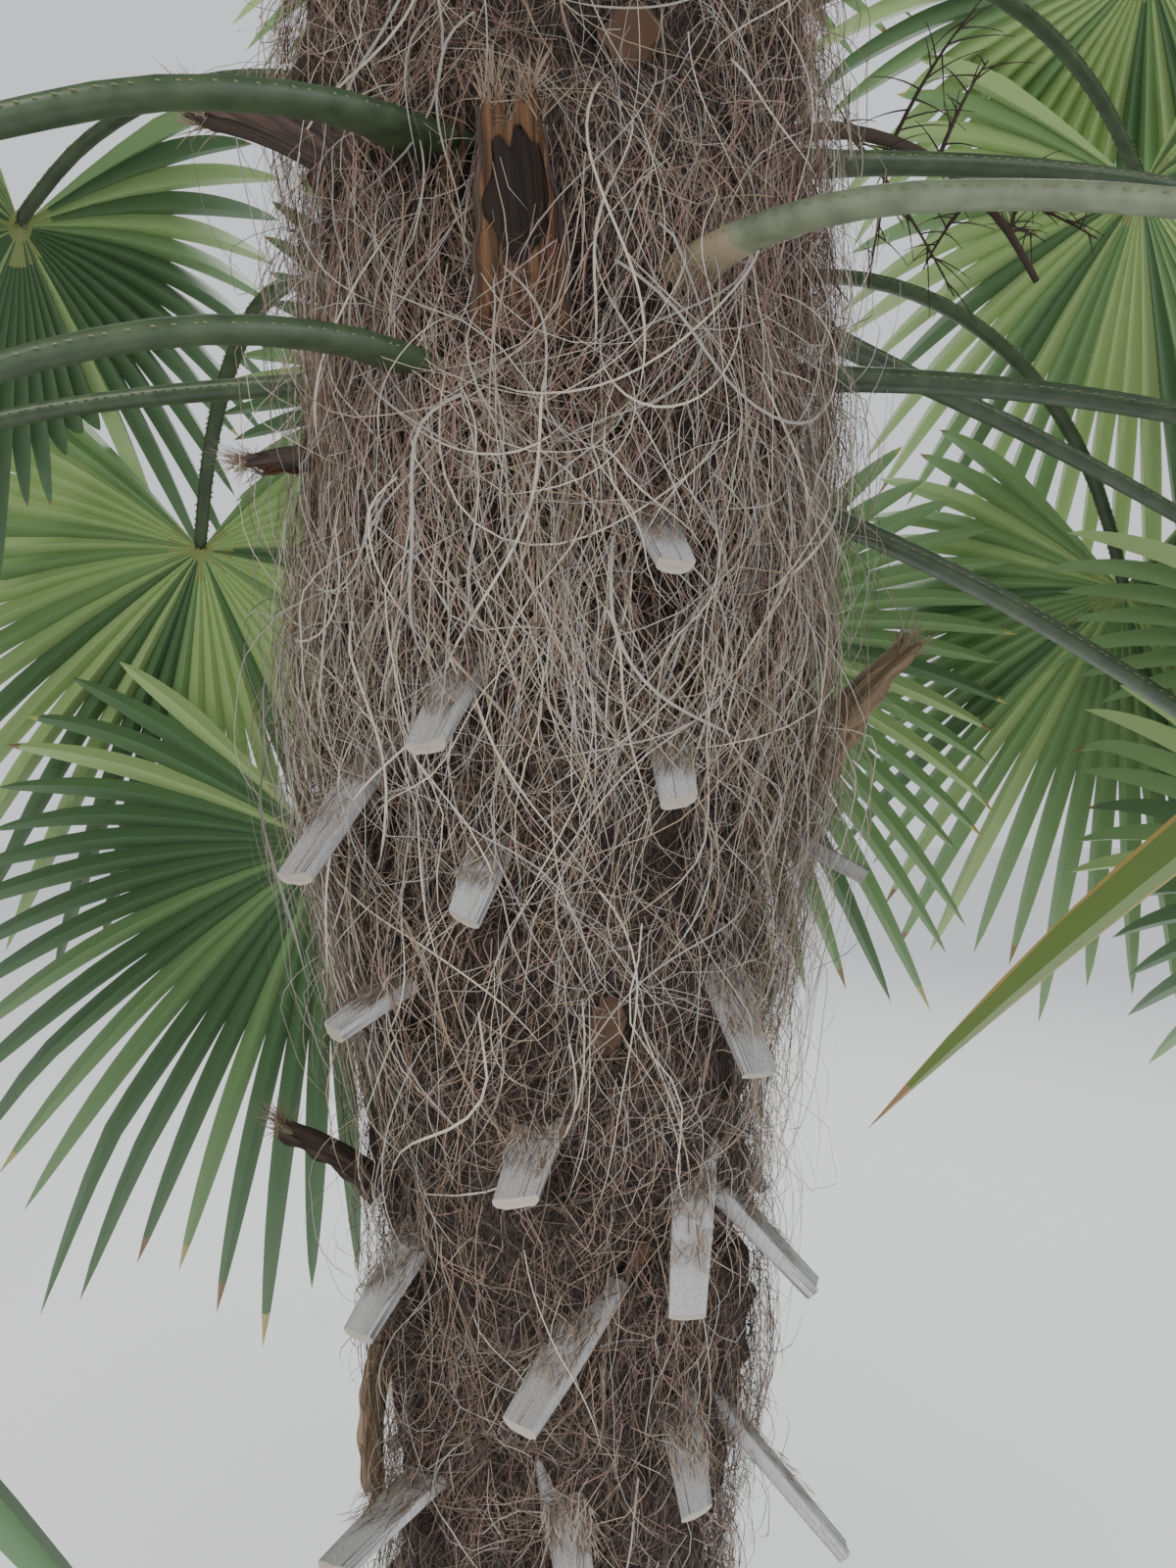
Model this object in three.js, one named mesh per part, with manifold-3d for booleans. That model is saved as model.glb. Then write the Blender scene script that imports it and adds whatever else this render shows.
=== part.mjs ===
// A windmill palm from the flat cut at ground level to the tips of its fronds.
// Millimetres, +Z up. The origin is the centre of the cut, and -Y is the side that faces the viewer.
// Angles are in degrees. A turn goes round the trunk from +X towards +Y, so -90 faces the viewer.
import * as THREE from 'three';
import Module from 'manifold-3d';

const wasm = await Module();
wasm.setup();

const { degToRad, lerp, smoothstep } = THREE.MathUtils;

// Trunk with its coat of fibre
const TRUNK_TOP = 2200;
const WAIST = 128;
const FLARE = 48;
const FLARE_FADE = 120;
const SWELL = 46;
const SWELL_SPAN = [750, 1500];
const TIP = 55;
const TAPER_SPAN = [1800, 2180];
const TRUNK_SIDES = 20;
const TRUNK_RINGS = 33;
const LEVEL_FOOT = 60;
// The old leaf bases stand in spirals, which the coat follows
const SPIRALS = [
  { arms: 5, pitch: 62, depth: 8 },
  { arms: 3, pitch: -88, depth: 6 },
];
const SEAT_GAP = 0.35;
const GOLDEN_TURN = 137.508;

// Cut leaf stalks: turn, height where they leave the coat, yaw off the straight way out, drop, free
// length and width
const STUB_SUNK = 42;
const STUB_THICK = 13;
const STUB_ROOT_WIDER = 1.35;
const SEEN_STUBS = [
  { turn: -70, foot: 1491, yaw: 2, drop: 40, reach: 42, width: 25 },
  { turn: -108, foot: 1403, yaw: -8, drop: 45, reach: 56, width: 28 },
  { turn: -66, foot: 1357, yaw: -20, drop: 41, reach: 40, width: 25 },
  { turn: -135, foot: 1345, yaw: 16, drop: 41, reach: 90, width: 26 },
  { turn: -106, foot: 1291, yaw: -6, drop: 42, reach: 44, width: 29 },
  { turn: -52, foot: 1209, yaw: -5, drop: 55, reach: 56, width: 27 },
  { turn: -133, foot: 1202, yaw: 4, drop: 19, reach: 46, width: 24 },
  { turn: -95, foot: 1121, yaw: -12, drop: 31, reach: 45, width: 30 },
  { turn: -53, foot: 1071, yaw: -45, drop: 44, reach: 78, width: 27 },
  { turn: -86, foot: 993, yaw: -35, drop: 24, reach: 68, width: 29 },
  { turn: -137, foot: 1026, yaw: 20, drop: 30, reach: 70, width: 28 },
  { turn: -50, foot: 896, yaw: -32, drop: 31, reach: 52, width: 28 },
  { turn: -134, foot: 859, yaw: 8, drop: 10, reach: 72, width: 29 },
  { turn: -88, foot: 849, yaw: 11, drop: 38, reach: 40, width: 28 },
  { turn: -20, foot: 866, yaw: 14, drop: 50, reach: 118, width: 18 },
  { turn: -10, foot: 1288, yaw: 8, drop: 28, reach: 54, width: 22 },
  { turn: -32, foot: 1039, yaw: 27, drop: 47, reach: 70, width: 32 },
];
const STUB_STEP = 31;
const STUB_SPAN = [130, 1470];
const STUB_USUAL = { yaw: 0, drop: 52, reach: 66, width: 29 };
const STUB_VARIES = { yaw: 24, drop: 10, reach: 22 };
// The seen stubs are the only ones above this height on the side that faces the viewer
const SEEN_FROM = 740;
const FAR_SIDE = 0.3;

// Brown husks of old leaf bases, curled like a boat with its hollow towards the trunk (1) or away (-1).
// The named ones stand out as pieces of their own
const HUSKS = [
  { name: 'husk_front', turn: -97, foot: 1598, yaw: 6, lift: 72, reach: 108, width: 54, hollow: -1 },
  { name: 'husk_left', turn: -143, foot: 1698, yaw: -38, lift: 38, reach: 96, width: 62, hollow: 1 },
  { name: 'husk_right', turn: -12, foot: 1338, yaw: 20, lift: 62, reach: 108, width: 52, hollow: -1 },
];
const SMALL_HUSKS = [
  { turn: -151, foot: 1548, yaw: -30, lift: 11, reach: 58, width: 44, hollow: -1 },
  { turn: -168, foot: 1040, yaw: -17, lift: 43, reach: 74, width: 34, hollow: -1 },
  { turn: -166, foot: 928, yaw: -10, lift: -68, reach: 112, width: 50, hollow: 1 },
];
const HUSK_SUNK = 16;
const HUSK_WALL = 5;
const HUSK_STEPS = 5;
const HUSK_SLICES = 5;
const HUSK_BOW = 78;
const HUSK_DROOP = 14;
const HUSK_NARROWS = 0.45;

// Fronds that the view shows, and two behind: foot turn, heading, foot height, rise and fall of
// the stalk, its length, the twist of the blade about it, and where its leaflets are torn off
const LOW_FRONDS = [
  { turn: -2, heading: 15, foot: 1531, rise: -22, fall: -39, stalk: 669 },
  { turn: 140, heading: 104, foot: 1499, rise: 7, fall: -78, stalk: 648 },
  { turn: -117, heading: -169, foot: 1578, rise: 4, fall: -76, stalk: 640, twist: -70, torn: [[58, 142]] },
  { turn: -6, heading: -1, foot: 1608, rise: -2, fall: -39, stalk: 787, twist: 18 },
  { turn: 135, heading: 121, foot: 1624, rise: 44, fall: -70, stalk: 797, twist: 4 },
  { turn: 26, heading: 15, foot: 1692, rise: -16, fall: -31, stalk: 740, twist: -6 },
  { turn: 166, heading: 176, foot: 1617, rise: 2, fall: -40, stalk: 725, twist: -4 },
  { turn: -63, heading: -14, foot: 1633, rise: 6, fall: -37, stalk: 558, twist: -101,
    torn: [[-142, -70], [36, 87], [98, 142]] },
  { turn: 60, heading: 34, foot: 1685, rise: 30, fall: -69, stalk: 902, twist: -18 },
  { turn: -118, heading: -180, foot: 1711, rise: -6, fall: -28, stalk: 702, twist: 5 },
  { turn: 88, heading: 70, foot: 1635, rise: 22, fall: -65, stalk: 714, twist: -8 },
  { turn: 112, heading: 159, foot: 1770, rise: 50, fall: -44, stalk: 664 },
  { turn: 12, heading: 8, foot: 1767, rise: 7, fall: -36, stalk: 751 },
  { turn: 48, heading: 36, foot: 1830, rise: 52, fall: -45, stalk: 780 },
  { turn: 84, heading: 107, foot: 1746, rise: 41, fall: -45, stalk: 704, twist: 8 },
];
// The fronds above them follow the golden turn and stand up more and more
const HIGH_FRONDS = 12;
const HIGH_FOOT = 1852;
const HIGH_STEP = 23;
const HIGH_TURN = -100;
const HIGH_RISE = [54, 80];
const HIGH_FALL = [-26, 66];
const HIGH_STALK = [740, 640];

// Leaf stalk and blade
const STALK_SUNK = 26;
const STALK_BITE = 3;
const STALK_STEPS = 8;
const STALK_BEND = 1.35;
const STALK_SWING = 0.35;
const STALK_WIDTH = [34, 15];
const STALK_THICK = [17, 9];
const BLADE_REACH = 500;
const BLADE_THICK = 5.2;
const BLADE_SPREAD = 142;
const BLADE_FOLD = [20, 6];
const LEAFLETS = 26;
const SPLIT_AT = 0.45;
const MIDDLE_AT = 0.74;
const MIDDLE_FILL = 0.55;
const SIDE_SHORTER = 0.28;
const UNEVEN = 0.05;
const DROOP = 120;
const DROOP_POWER = 2.2;
const CUP = 0.1;
const BACK_LONG = 13;
const BACK_HALF = 9;
// A leaflet that would touch its neighbours is tried at these shares of its length
const SHORTER = [1, 0.86, 0.74, 0.62];
const STUMP = 0.5;
const PROBE_EXTRA = 0.8;
const PROBE_TIP = 0.004;
const MIDDLE_SHARE = (MIDDLE_AT - SPLIT_AT) / (1 - SPLIT_AT);

// Unopened leaves at the tip, and the dried flower stalk behind on the right
const SPEARS = [
  { turn: 30, lean: 3, reach: 760, width: 44 },
  { turn: 150, lean: 9, reach: 610, width: 36 },
  { turn: 270, lean: 12, reach: 520, width: 32 },
];
// Each runs from its foot to its tip in rings: share of its length, share of its width
const SPEAR_RINGS = [[0, 0.6], [0.18, 0.9], [0.45, 1], [0.75, 0.7], [1, 0.08]];
const SPEAR_SIDES = 6;
const SPEAR_APART = 0.3;
const FLOWER_STALK = { turn: 40, heading: 30, foot: 1800, rise: 30, fall: -50, stalk: 420, twigs: 10 };
const FLOWER_WIDTH = [20, 6];
const TWIG_REACH = 150;
const TWIG_WIDTH = 5;
const TWIG_TIP = 0.35;
const TWIG_SAG = 0.25;
const TWIG_FROM = 3;

const PALETTE = {
  fibre: { color: 0x6b5645, roughness: 0.95 },
  husk: { color: 0x5a3a22, roughness: 0.85 },
  stalk: { color: 0x3f5a34, roughness: 0.55 },
  blade: { color: 0x35592c, roughness: 0.5 },
  spear: { color: 0x6f8a4a, roughness: 0.55 },
  flower: { color: 0x4a3b2c, roughness: 0.9 },
};

const palm = new THREE.Group();

function direction(heading, pitch) {
  const level = Math.cos(degToRad(pitch));
  const angle = degToRad(heading);
  return new THREE.Vector3(level * Math.cos(angle), level * Math.sin(angle), Math.sin(degToRad(pitch)));
}

function range(count) {
  return Array.from({ length: count }, (_, i) => i);
}

// Solids

function outward(points, faces) {
  const volume = faces.reduce((sum, [a, b, c]) => {
    return sum + points[a].dot(points[b].clone().cross(points[c]));
  }, 0);
  return volume > 0 ? faces : faces.map(([a, b, c]) => [a, c, b]);
}

function solidOf(points, faces) {
  const vertProperties = Float32Array.from(points.flatMap((p) => p.toArray()));
  const triVerts = Uint32Array.from(outward(points, faces).flat());
  return new wasm.Manifold(new wasm.Mesh({ numProp: 3, vertProperties, triVerts }));
}

// Rings of equal count, one after another, with a flat fan at both ends
function skinned(rings) {
  const sides = rings[0].length;
  const faces = [];
  for (let row = 0; row + 1 < rings.length; row += 1) {
    for (let i = 0; i < sides; i += 1) {
      const next = (i + 1) % sides;
      const [a, b] = [row * sides + i, row * sides + next];
      faces.push([a, b, b + sides], [a, b + sides, a + sides]);
    }
  }
  const last = (rings.length - 1) * sides;
  for (let i = 1; i + 1 < sides; i += 1) {
    faces.push([0, i + 1, i], [last, last + i, last + i + 1]);
  }
  return solidOf(rings.flat(), faces);
}

// A sheet with an upper and a lower grid of points, closed by walls round its border
function sheet(upper, lower) {
  const rows = upper.length;
  const columns = upper[0].length;
  const under = rows * columns;
  const at = (row, column) => row * columns + column;
  const faces = [];
  for (let row = 0; row + 1 < rows; row += 1) {
    for (let column = 0; column + 1 < columns; column += 1) {
      const [a, b] = [at(row, column), at(row, column + 1)];
      const [c, d] = [at(row + 1, column + 1), at(row + 1, column)];
      faces.push([a, b, c], [a, c, d]);
      faces.push([a + under, c + under, b + under], [a + under, d + under, c + under]);
    }
  }
  const border = [
    ...range(columns - 1).map((i) => at(0, i)),
    ...range(rows - 1).map((i) => at(i, columns - 1)),
    ...range(columns - 1).map((i) => at(rows - 1, columns - 1 - i)),
    ...range(rows - 1).map((i) => at(rows - 1 - i, 0)),
  ];
  border.forEach((a, i) => {
    const b = border[(i + 1) % border.length];
    faces.push([a, a + under, b + under], [a, b + under, b]);
  });
  return solidOf([...upper.flat(), ...lower.flat()], faces);
}

// What stands already, so that a leaflet or twig of another owner can keep clear of it

const standing = [];

function boxOf(solid) {
  const { vertProperties } = solid.getMesh();
  return new THREE.Box3().setFromArray(vertProperties);
}

function stand(solid, owner) {
  standing.push({ solid, owner, box: boxOf(solid) });
}

function touches(probe, owner) {
  const box = boxOf(probe);
  const others = standing.filter((other) => other.owner !== owner && other.box.intersectsBox(box));
  return others.some((other) => !probe.intersect(other.solid).isEmpty());
}

function addNode(name, solid, look) {
  const { vertProperties, triVerts } = solid.getMesh();
  const geometry = new THREE.BufferGeometry();
  geometry.setAttribute('position', new THREE.BufferAttribute(vertProperties, 3));
  geometry.setIndex(new THREE.BufferAttribute(triVerts, 1));
  geometry.computeVertexNormals();
  const mesh = new THREE.Mesh(geometry, new THREE.MeshStandardMaterial({ ...look, metalness: 0 }));
  mesh.name = name;
  palm.add(mesh);
}

// Trunk

function bodyRadius(height) {
  const flare = FLARE * Math.exp(-height / FLARE_FADE);
  const swell = SWELL * smoothstep(height, ...SWELL_SPAN);
  const taper = (WAIST + SWELL - TIP) * smoothstep(height, ...TAPER_SPAN);
  return WAIST + flare + swell - taper;
}

function coatRadius(height, angle) {
  const fade = smoothstep(height, 0, LEVEL_FOOT) * smoothstep(TRUNK_TOP - height, 0, LEVEL_FOOT);
  const waves = SPIRALS.map(({ arms, pitch, depth }) => depth * Math.sin(arms * angle + height / pitch));
  return bodyRadius(height) + fade * waves.reduce((sum, wave) => sum + wave, 0);
}

function trunkBody(extra) {
  const rings = range(TRUNK_RINGS + 1).map((row) => {
    const height = (TRUNK_TOP * row) / TRUNK_RINGS;
    return range(TRUNK_SIDES).map((i) => {
      const angle = (2 * Math.PI * i) / TRUNK_SIDES;
      const radius = coatRadius(height, angle) + extra;
      const level = row === TRUNK_RINGS ? height + extra : height;
      return new THREE.Vector3(radius * Math.cos(angle), radius * Math.sin(angle), level);
    });
  });
  return skinned(rings);
}

function onCoat(turn, height) {
  return direction(turn, 0).multiplyScalar(coatRadius(height, degToRad(turn))).setZ(height);
}

function ringAcross(centre, along, across, width, thick) {
  const over = new THREE.Vector3().crossVectors(along, across).normalize();
  const corners = [[-0.5, -0.5], [0.5, -0.5], [0.5, 0.5], [-0.5, 0.5]];
  return corners.map(([u, v]) => {
    return centre.clone().addScaledVector(across, u * width).addScaledVector(over, v * thick);
  });
}

function stub({ turn, foot, yaw, drop, reach, width }) {
  const along = direction(turn + yaw, -drop);
  const across = direction(turn + yaw + 90, 0);
  const start = onCoat(turn, foot).addScaledVector(along, -STUB_SUNK);
  const long = STUB_SUNK + reach;
  const rings = [0, 1].map((share) => {
    const centre = start.clone().addScaledVector(along, long * share);
    return ringAcross(centre, along, across, width * lerp(STUB_ROOT_WIDER, 1, share), STUB_THICK);
  });
  return skinned(rings);
}

function hiddenStubs() {
  const [low, high] = STUB_SPAN;
  const count = Math.floor((high - low) / STUB_STEP);
  const all = range(count).map((i) => {
    const turn = THREE.MathUtils.euclideanModulo(i * GOLDEN_TURN + 180, 360) - 180;
    const yaw = STUB_USUAL.yaw + STUB_VARIES.yaw * Math.sin(i * 2.1);
    const drop = STUB_USUAL.drop + STUB_VARIES.drop * Math.sin(i * 1.3);
    const reach = STUB_USUAL.reach + STUB_VARIES.reach * Math.sin(i * 1.7);
    return { turn, foot: low + i * STUB_STEP, yaw, drop, reach, width: STUB_USUAL.width };
  });
  return all.filter(({ turn, foot }) => foot < SEEN_FROM || direction(turn, 0).y > FAR_SIDE);
}

function trunk() {
  const stubs = [...SEEN_STUBS, ...hiddenStubs()].map(stub);
  return [...stubs, ...SMALL_HUSKS.map(husk)].reduce((solid, piece) => solid.add(piece), trunkBody(0));
}

// Husks

function husk({ turn, foot, yaw, lift, reach, width, hollow }) {
  const across = direction(turn + yaw + 90, 0);
  const base = onCoat(turn, foot).addScaledVector(direction(turn, 0), -HUSK_SUNK);
  const grids = [HUSK_WALL / 2, -HUSK_WALL / 2].map((offset) => {
    return range(HUSK_STEPS).map((row) => {
      const share = row / (HUSK_STEPS - 1);
      const along = direction(turn + yaw, lift - HUSK_DROOP * share);
      const over = new THREE.Vector3().crossVectors(along, across).multiplyScalar(hollow).normalize();
      const half = (width / 2) * (1 - HUSK_NARROWS * share * share);
      const centre = base.clone().addScaledVector(along, share * (reach + HUSK_SUNK));
      return range(HUSK_SLICES).map((column) => {
        const bow = degToRad(lerp(-HUSK_BOW, HUSK_BOW, column / (HUSK_SLICES - 1)));
        return centre.clone().addScaledVector(across, (half + offset) * Math.sin(bow))
          .addScaledVector(over, (half + offset) * (1 - Math.cos(bow)) - offset);
      });
    });
  });
  return sheet(...grids);
}

// Fronds

function frondRows() {
  const high = range(HIGH_FRONDS).map((i) => {
    const share = i / (HIGH_FRONDS - 1);
    const turn = HIGH_TURN + i * GOLDEN_TURN;
    return { turn, heading: turn, foot: HIGH_FOOT + i * HIGH_STEP, rise: lerp(...HIGH_RISE, share),
      fall: lerp(...HIGH_FALL, share), stalk: lerp(...HIGH_STALK, share) };
  });
  return [...LOW_FRONDS, ...high];
}

// The path of a stalk leaves the trunk at its rise and bends over to its fall
function stalkPath({ turn, heading, foot, rise, fall, stalk }, steps) {
  const sunk = STALK_SUNK * Math.cos(degToRad(rise)) + STALK_BITE;
  const path = [direction(turn, 0).multiplyScalar(bodyRadius(foot) - sunk).setZ(foot)];
  const ways = [];
  for (let i = 0; i < steps; i += 1) {
    const share = (i + 0.5) / steps;
    const swing = smoothstep(share, 0, STALK_SWING);
    const way = direction(lerp(turn, heading, swing), lerp(rise, fall, share ** STALK_BEND));
    path.push(path[i].clone().addScaledVector(way, stalk / steps));
    ways.push(way);
  }
  ways.push(direction(heading, fall));
  return { path, ways };
}

function sixSided(centre, way, width, thick) {
  const across = new THREE.Vector3(-way.y, way.x, 0).normalize();
  const over = new THREE.Vector3().crossVectors(way, across).normalize();
  const corners = [[-0.5, 0.1], [-0.3, -0.5], [0.3, -0.5], [0.5, 0.1], [0.36, 0.5], [-0.36, 0.5]];
  return corners.map(([u, v]) => {
    return centre.clone().addScaledVector(across, u * width).addScaledVector(over, -v * thick);
  });
}

function taperedStem({ path, ways }, widths, thicks) {
  const last = path.length - 1;
  const rings = path.map((centre, i) => {
    const share = Math.sqrt(i / last);
    return sixSided(centre, ways[i], lerp(...widths, share), lerp(...thicks, share));
  });
  return skinned(rings);
}

function bladeOf(row, { path }) {
  const end = path[path.length - 1];
  const standUp = smoothstep(row.fall, -60, 60);
  const pitch = row.fall - lerp(...BLADE_FOLD, standUp);
  const axis = direction(row.heading, pitch);
  const twist = degToRad(row.twist ?? 0);
  const side = direction(row.heading + 90, 0).applyAxisAngle(axis, twist);
  const normal = new THREE.Vector3().crossVectors(axis, side).normalize();
  const lean = (BLADE_THICK * Math.cos(twist) + STALK_THICK[1] * Math.abs(Math.sin(twist))) / 2;
  const clear = SEAT_GAP + lean * Math.sin(degToRad(row.fall - pitch));
  const hub = end.clone().addScaledVector(axis, BACK_LONG + clear);
  return { hub, axis, side, normal, torn: row.torn ?? [] };
}

function bladePoint({ hub, axis, side, normal }, reach, angle, offset) {
  const along = axis.clone().multiplyScalar(Math.cos(angle)).addScaledVector(side, Math.sin(angle));
  const level = Math.hypot(along.x, along.y);
  const point = hub.clone().addScaledVector(along, reach);
  point.addScaledVector(normal, reach * CUP * Math.sin(angle / 2) ** 2 + offset);
  point.z -= DROOP * level * (reach / BLADE_REACH) ** DROOP_POWER;
  return point;
}

function edgeAngle(i) {
  return degToRad(lerp(-BLADE_SPREAD, BLADE_SPREAD, i / LEAFLETS));
}

function leafletReach(i, seed) {
  const angle = edgeAngle(i + 0.5);
  const even = 1 - SIDE_SHORTER * (1 - Math.cos(0.55 * angle));
  return BLADE_REACH * even * (1 + UNEVEN * Math.sin(i * 2.4 + seed));
}

function middleAngles(i) {
  const [low, high] = [edgeAngle(i), edgeAngle(i + 1)];
  const trim = ((1 - MIDDLE_FILL) / 2) * (high - low);
  return [low + trim, high - trim];
}

// The free part of one leaflet, a little thicker than it is
function leafletProbe(blade, i, reach) {
  const half = BLADE_THICK / 2 + PROBE_EXTRA;
  const [low, high] = [edgeAngle(i), edgeAngle(i + 1)];
  const middle = (low + high) / 2;
  const rows = [
    [BLADE_REACH * SPLIT_AT * 0.8, low, high],
    [lerp(BLADE_REACH * SPLIT_AT, reach, MIDDLE_SHARE), ...middleAngles(i)],
    [reach, middle - PROBE_TIP, middle + PROBE_TIP],
  ];
  const grids = [half, -half].map((offset) => {
    return rows.map(([at, ...angles]) => angles.map((angle) => bladePoint(blade, at, angle, offset)));
  });
  return sheet(...grids);
}

function clearReach(name, blade, i, full) {
  const angle = THREE.MathUtils.radToDeg(edgeAngle(i + 0.5));
  if (blade.torn.some(([from, to]) => angle > from && angle < to)) return BLADE_REACH * STUMP;
  const share = SHORTER.find((part) => !touches(leafletProbe(blade, i, full * part), name));
  return share ? full * share : BLADE_REACH * STUMP;
}

function fanSolid(blade, reaches) {
  const half = BLADE_THICK / 2;
  const points = [];
  const faces = [];
  const pair = (reach, angle) => {
    points.push(bladePoint(blade, reach, angle, half), bladePoint(blade, reach, angle, -half));
    return points.length - 2;
  };
  const flat = (a, b, c) => faces.push([a, b, c], [a + 1, c + 1, b + 1]);
  const wall = (a, b) => faces.push([a, a + 1, b + 1], [a, b + 1, b]);
  const split = BLADE_REACH * SPLIT_AT;
  const backReach = Math.hypot(BACK_LONG, BACK_HALF);
  const backAngle = Math.atan2(BACK_HALF, -BACK_LONG);
  const hub = pair(0, 0);
  const first = pair(backReach, -backAngle);
  const edges = range(LEAFLETS + 1).map((i) => pair(split, edgeAngle(i)));
  const last = pair(backReach, backAngle);
  flat(hub, first, edges[0]);
  flat(hub, edges[LEAFLETS], last);
  flat(hub, last, first);
  wall(first, edges[0]);
  wall(edges[LEAFLETS], last);
  wall(last, first);
  reaches.forEach((reach, i) => {
    const [low, high] = middleAngles(i);
    const middle = lerp(split, reach, MIDDLE_SHARE);
    const [near, far] = [pair(middle, low), pair(middle, high)];
    points.push(bladePoint(blade, reach, (low + high) / 2, 0));
    const tip = points.length - 1;
    flat(hub, edges[i], edges[i + 1]);
    flat(edges[i], near, far);
    flat(edges[i], far, edges[i + 1]);
    faces.push([near, tip, far], [near + 1, far + 1, tip]);
    wall(edges[i], near);
    faces.push([near, near + 1, tip]);
    faces.push([tip, far + 1, far]);
    wall(far, edges[i + 1]);
  });
  return solidOf(points, faces);
}

function fan({ name, blade, seed }) {
  const reaches = range(LEAFLETS).map((i) => clearReach(name, blade, i, leafletReach(i, seed)));
  return fanSolid(blade, reaches);
}

// Spear and flower stalks

function spear() {
  const foot = new THREE.Vector3(0, 0, TRUNK_TOP + SEAT_GAP);
  const blades = SPEARS.map(({ turn, lean, reach, width }) => {
    const way = direction(turn, 90 - lean);
    const start = foot.clone().addScaledVector(direction(turn, 0), width * SPEAR_APART);
    const rings = SPEAR_RINGS.map(([along, wide]) => {
      const centre = start.clone().addScaledVector(way, along * reach);
      return range(SPEAR_SIDES).map((i) => {
        const angle = (2 * Math.PI * i) / SPEAR_SIDES;
        const radius = (width * wide) / 2;
        return centre.clone().add(new THREE.Vector3(radius * Math.cos(angle), radius * Math.sin(angle), 0));
      });
    });
    return skinned(rings);
  });
  return blades.reduce((solid, blade) => solid.add(blade));
}

function twig(start, way, reach) {
  const across = new THREE.Vector3(-way.y, way.x, 0).normalize();
  const over = new THREE.Vector3().crossVectors(way, across).normalize();
  const rings = [0, 0.5, 1].map((share) => {
    const centre = start.clone().addScaledVector(way, reach * share);
    centre.z -= TWIG_SAG * reach * share * share;
    const radius = (TWIG_WIDTH / 2) * lerp(1, TWIG_TIP, share);
    return [0, 1, 2].map((i) => {
      const angle = (2 * Math.PI * i) / 3;
      return centre.clone().addScaledVector(across, radius * Math.cos(angle))
        .addScaledVector(over, radius * Math.sin(angle));
    });
  });
  return skinned(rings);
}

function flowerStalk(grown) {
  const row = FLOWER_STALK;
  const { path, ways } = stalkPath(row, STALK_STEPS);
  let solid = taperedStem({ path, ways }, FLOWER_WIDTH, FLOWER_WIDTH).subtract(grown);
  for (let i = 0; i < row.twigs; i += 1) {
    const step = TWIG_FROM + Math.floor((i * (STALK_STEPS - TWIG_FROM)) / row.twigs);
    const way = direction(row.heading + 70 * Math.sin(i * 2.4), 20 - 50 * Math.cos(i * 1.9));
    const branch = twig(path[step], way, TWIG_REACH * lerp(1, 0.6, i / row.twigs));
    if (!touches(branch, 'flower_stalk')) solid = solid.add(branch);
  }
  return solid;
}

// The whole palm

function build() {
  const grown = trunkBody(SEAT_GAP);
  const stem = trunk();
  addNode('trunk', stem, PALETTE.fibre);
  stand(stem, 'trunk');
  HUSKS.forEach((row) => {
    const solid = husk(row).subtract(grown);
    addNode(row.name, solid, PALETTE.husk);
    stand(solid, row.name);
  });
  const fronds = frondRows().map((row, i) => {
    const run = stalkPath(row, STALK_STEPS);
    const solid = taperedStem(run, STALK_WIDTH, STALK_THICK).subtract(grown);
    const label = String(i + 1).padStart(2, '0');
    addNode(`stalk_${label}`, solid, PALETTE.stalk);
    stand(solid, `stalk_${label}`);
    return { name: `fan_${label}`, blade: bladeOf(row, run), seed: i };
  });
  const tip = spear();
  addNode('spear', tip, PALETTE.spear);
  stand(tip, 'spear');
  const flower = flowerStalk(grown);
  addNode('flower_stalk', flower, PALETTE.flower);
  stand(flower, 'flower_stalk');
  // The inner part of every blade stands first, so that no leaflet of another frond runs into it
  const stumps = range(LEAFLETS).map(() => BLADE_REACH * STUMP);
  fronds.forEach(({ name, blade }) => stand(fanSolid(blade, stumps), name));
  fronds.forEach((frond) => {
    const solid = fan(frond);
    addNode(frond.name, solid, PALETTE.blade);
    stand(solid, frond.name);
  });
}

build();

export default palm;
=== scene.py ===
"""The looks of a windmill palm: shaggy trunk, cut stubs, husks, toothed leaf stalks and pleated fans.

Metres and degrees. A turn goes round the trunk from +X towards +Y, so -90 faces the viewer.
The rules for trunk, stubs, stalks and blades are those of the CAD part, carried to finer detail.
"""
import math
from collections import namedtuple

import bpy
import numpy as np
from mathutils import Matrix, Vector


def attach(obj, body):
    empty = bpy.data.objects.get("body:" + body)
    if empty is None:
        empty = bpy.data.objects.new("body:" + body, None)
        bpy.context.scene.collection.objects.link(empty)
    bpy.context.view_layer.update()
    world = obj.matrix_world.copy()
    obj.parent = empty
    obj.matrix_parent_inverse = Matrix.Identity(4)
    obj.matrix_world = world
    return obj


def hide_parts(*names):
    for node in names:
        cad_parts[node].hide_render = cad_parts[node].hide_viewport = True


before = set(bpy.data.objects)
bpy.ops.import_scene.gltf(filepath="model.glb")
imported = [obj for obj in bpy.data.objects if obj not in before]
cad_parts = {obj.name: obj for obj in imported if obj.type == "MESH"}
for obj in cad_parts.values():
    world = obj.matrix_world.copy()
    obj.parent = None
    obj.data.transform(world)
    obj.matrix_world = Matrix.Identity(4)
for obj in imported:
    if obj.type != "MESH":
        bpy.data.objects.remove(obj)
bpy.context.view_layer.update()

BODY = "root"
SEED = 7
UP = np.array([0.0, 0.0, 1.0])
ROUND = 2 * math.pi
GOLDEN_TURN = 137.508

Blade = namedtuple("Blade", "hub axis side normal")
# The place and axes of a stub or husk, and the box in which the hair keeps off it
Seat = namedtuple("Seat", "start along across over low high half")

# Camera, in the image taken as 1200 x 1600
CAMERA_AT = (0.018, -0.85, 1.40)
CAMERA_TILT = -5.0
FOCAL_PIXELS = 1204
IMAGE_HIGH = 1600
SENSOR = 36.0

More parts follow.
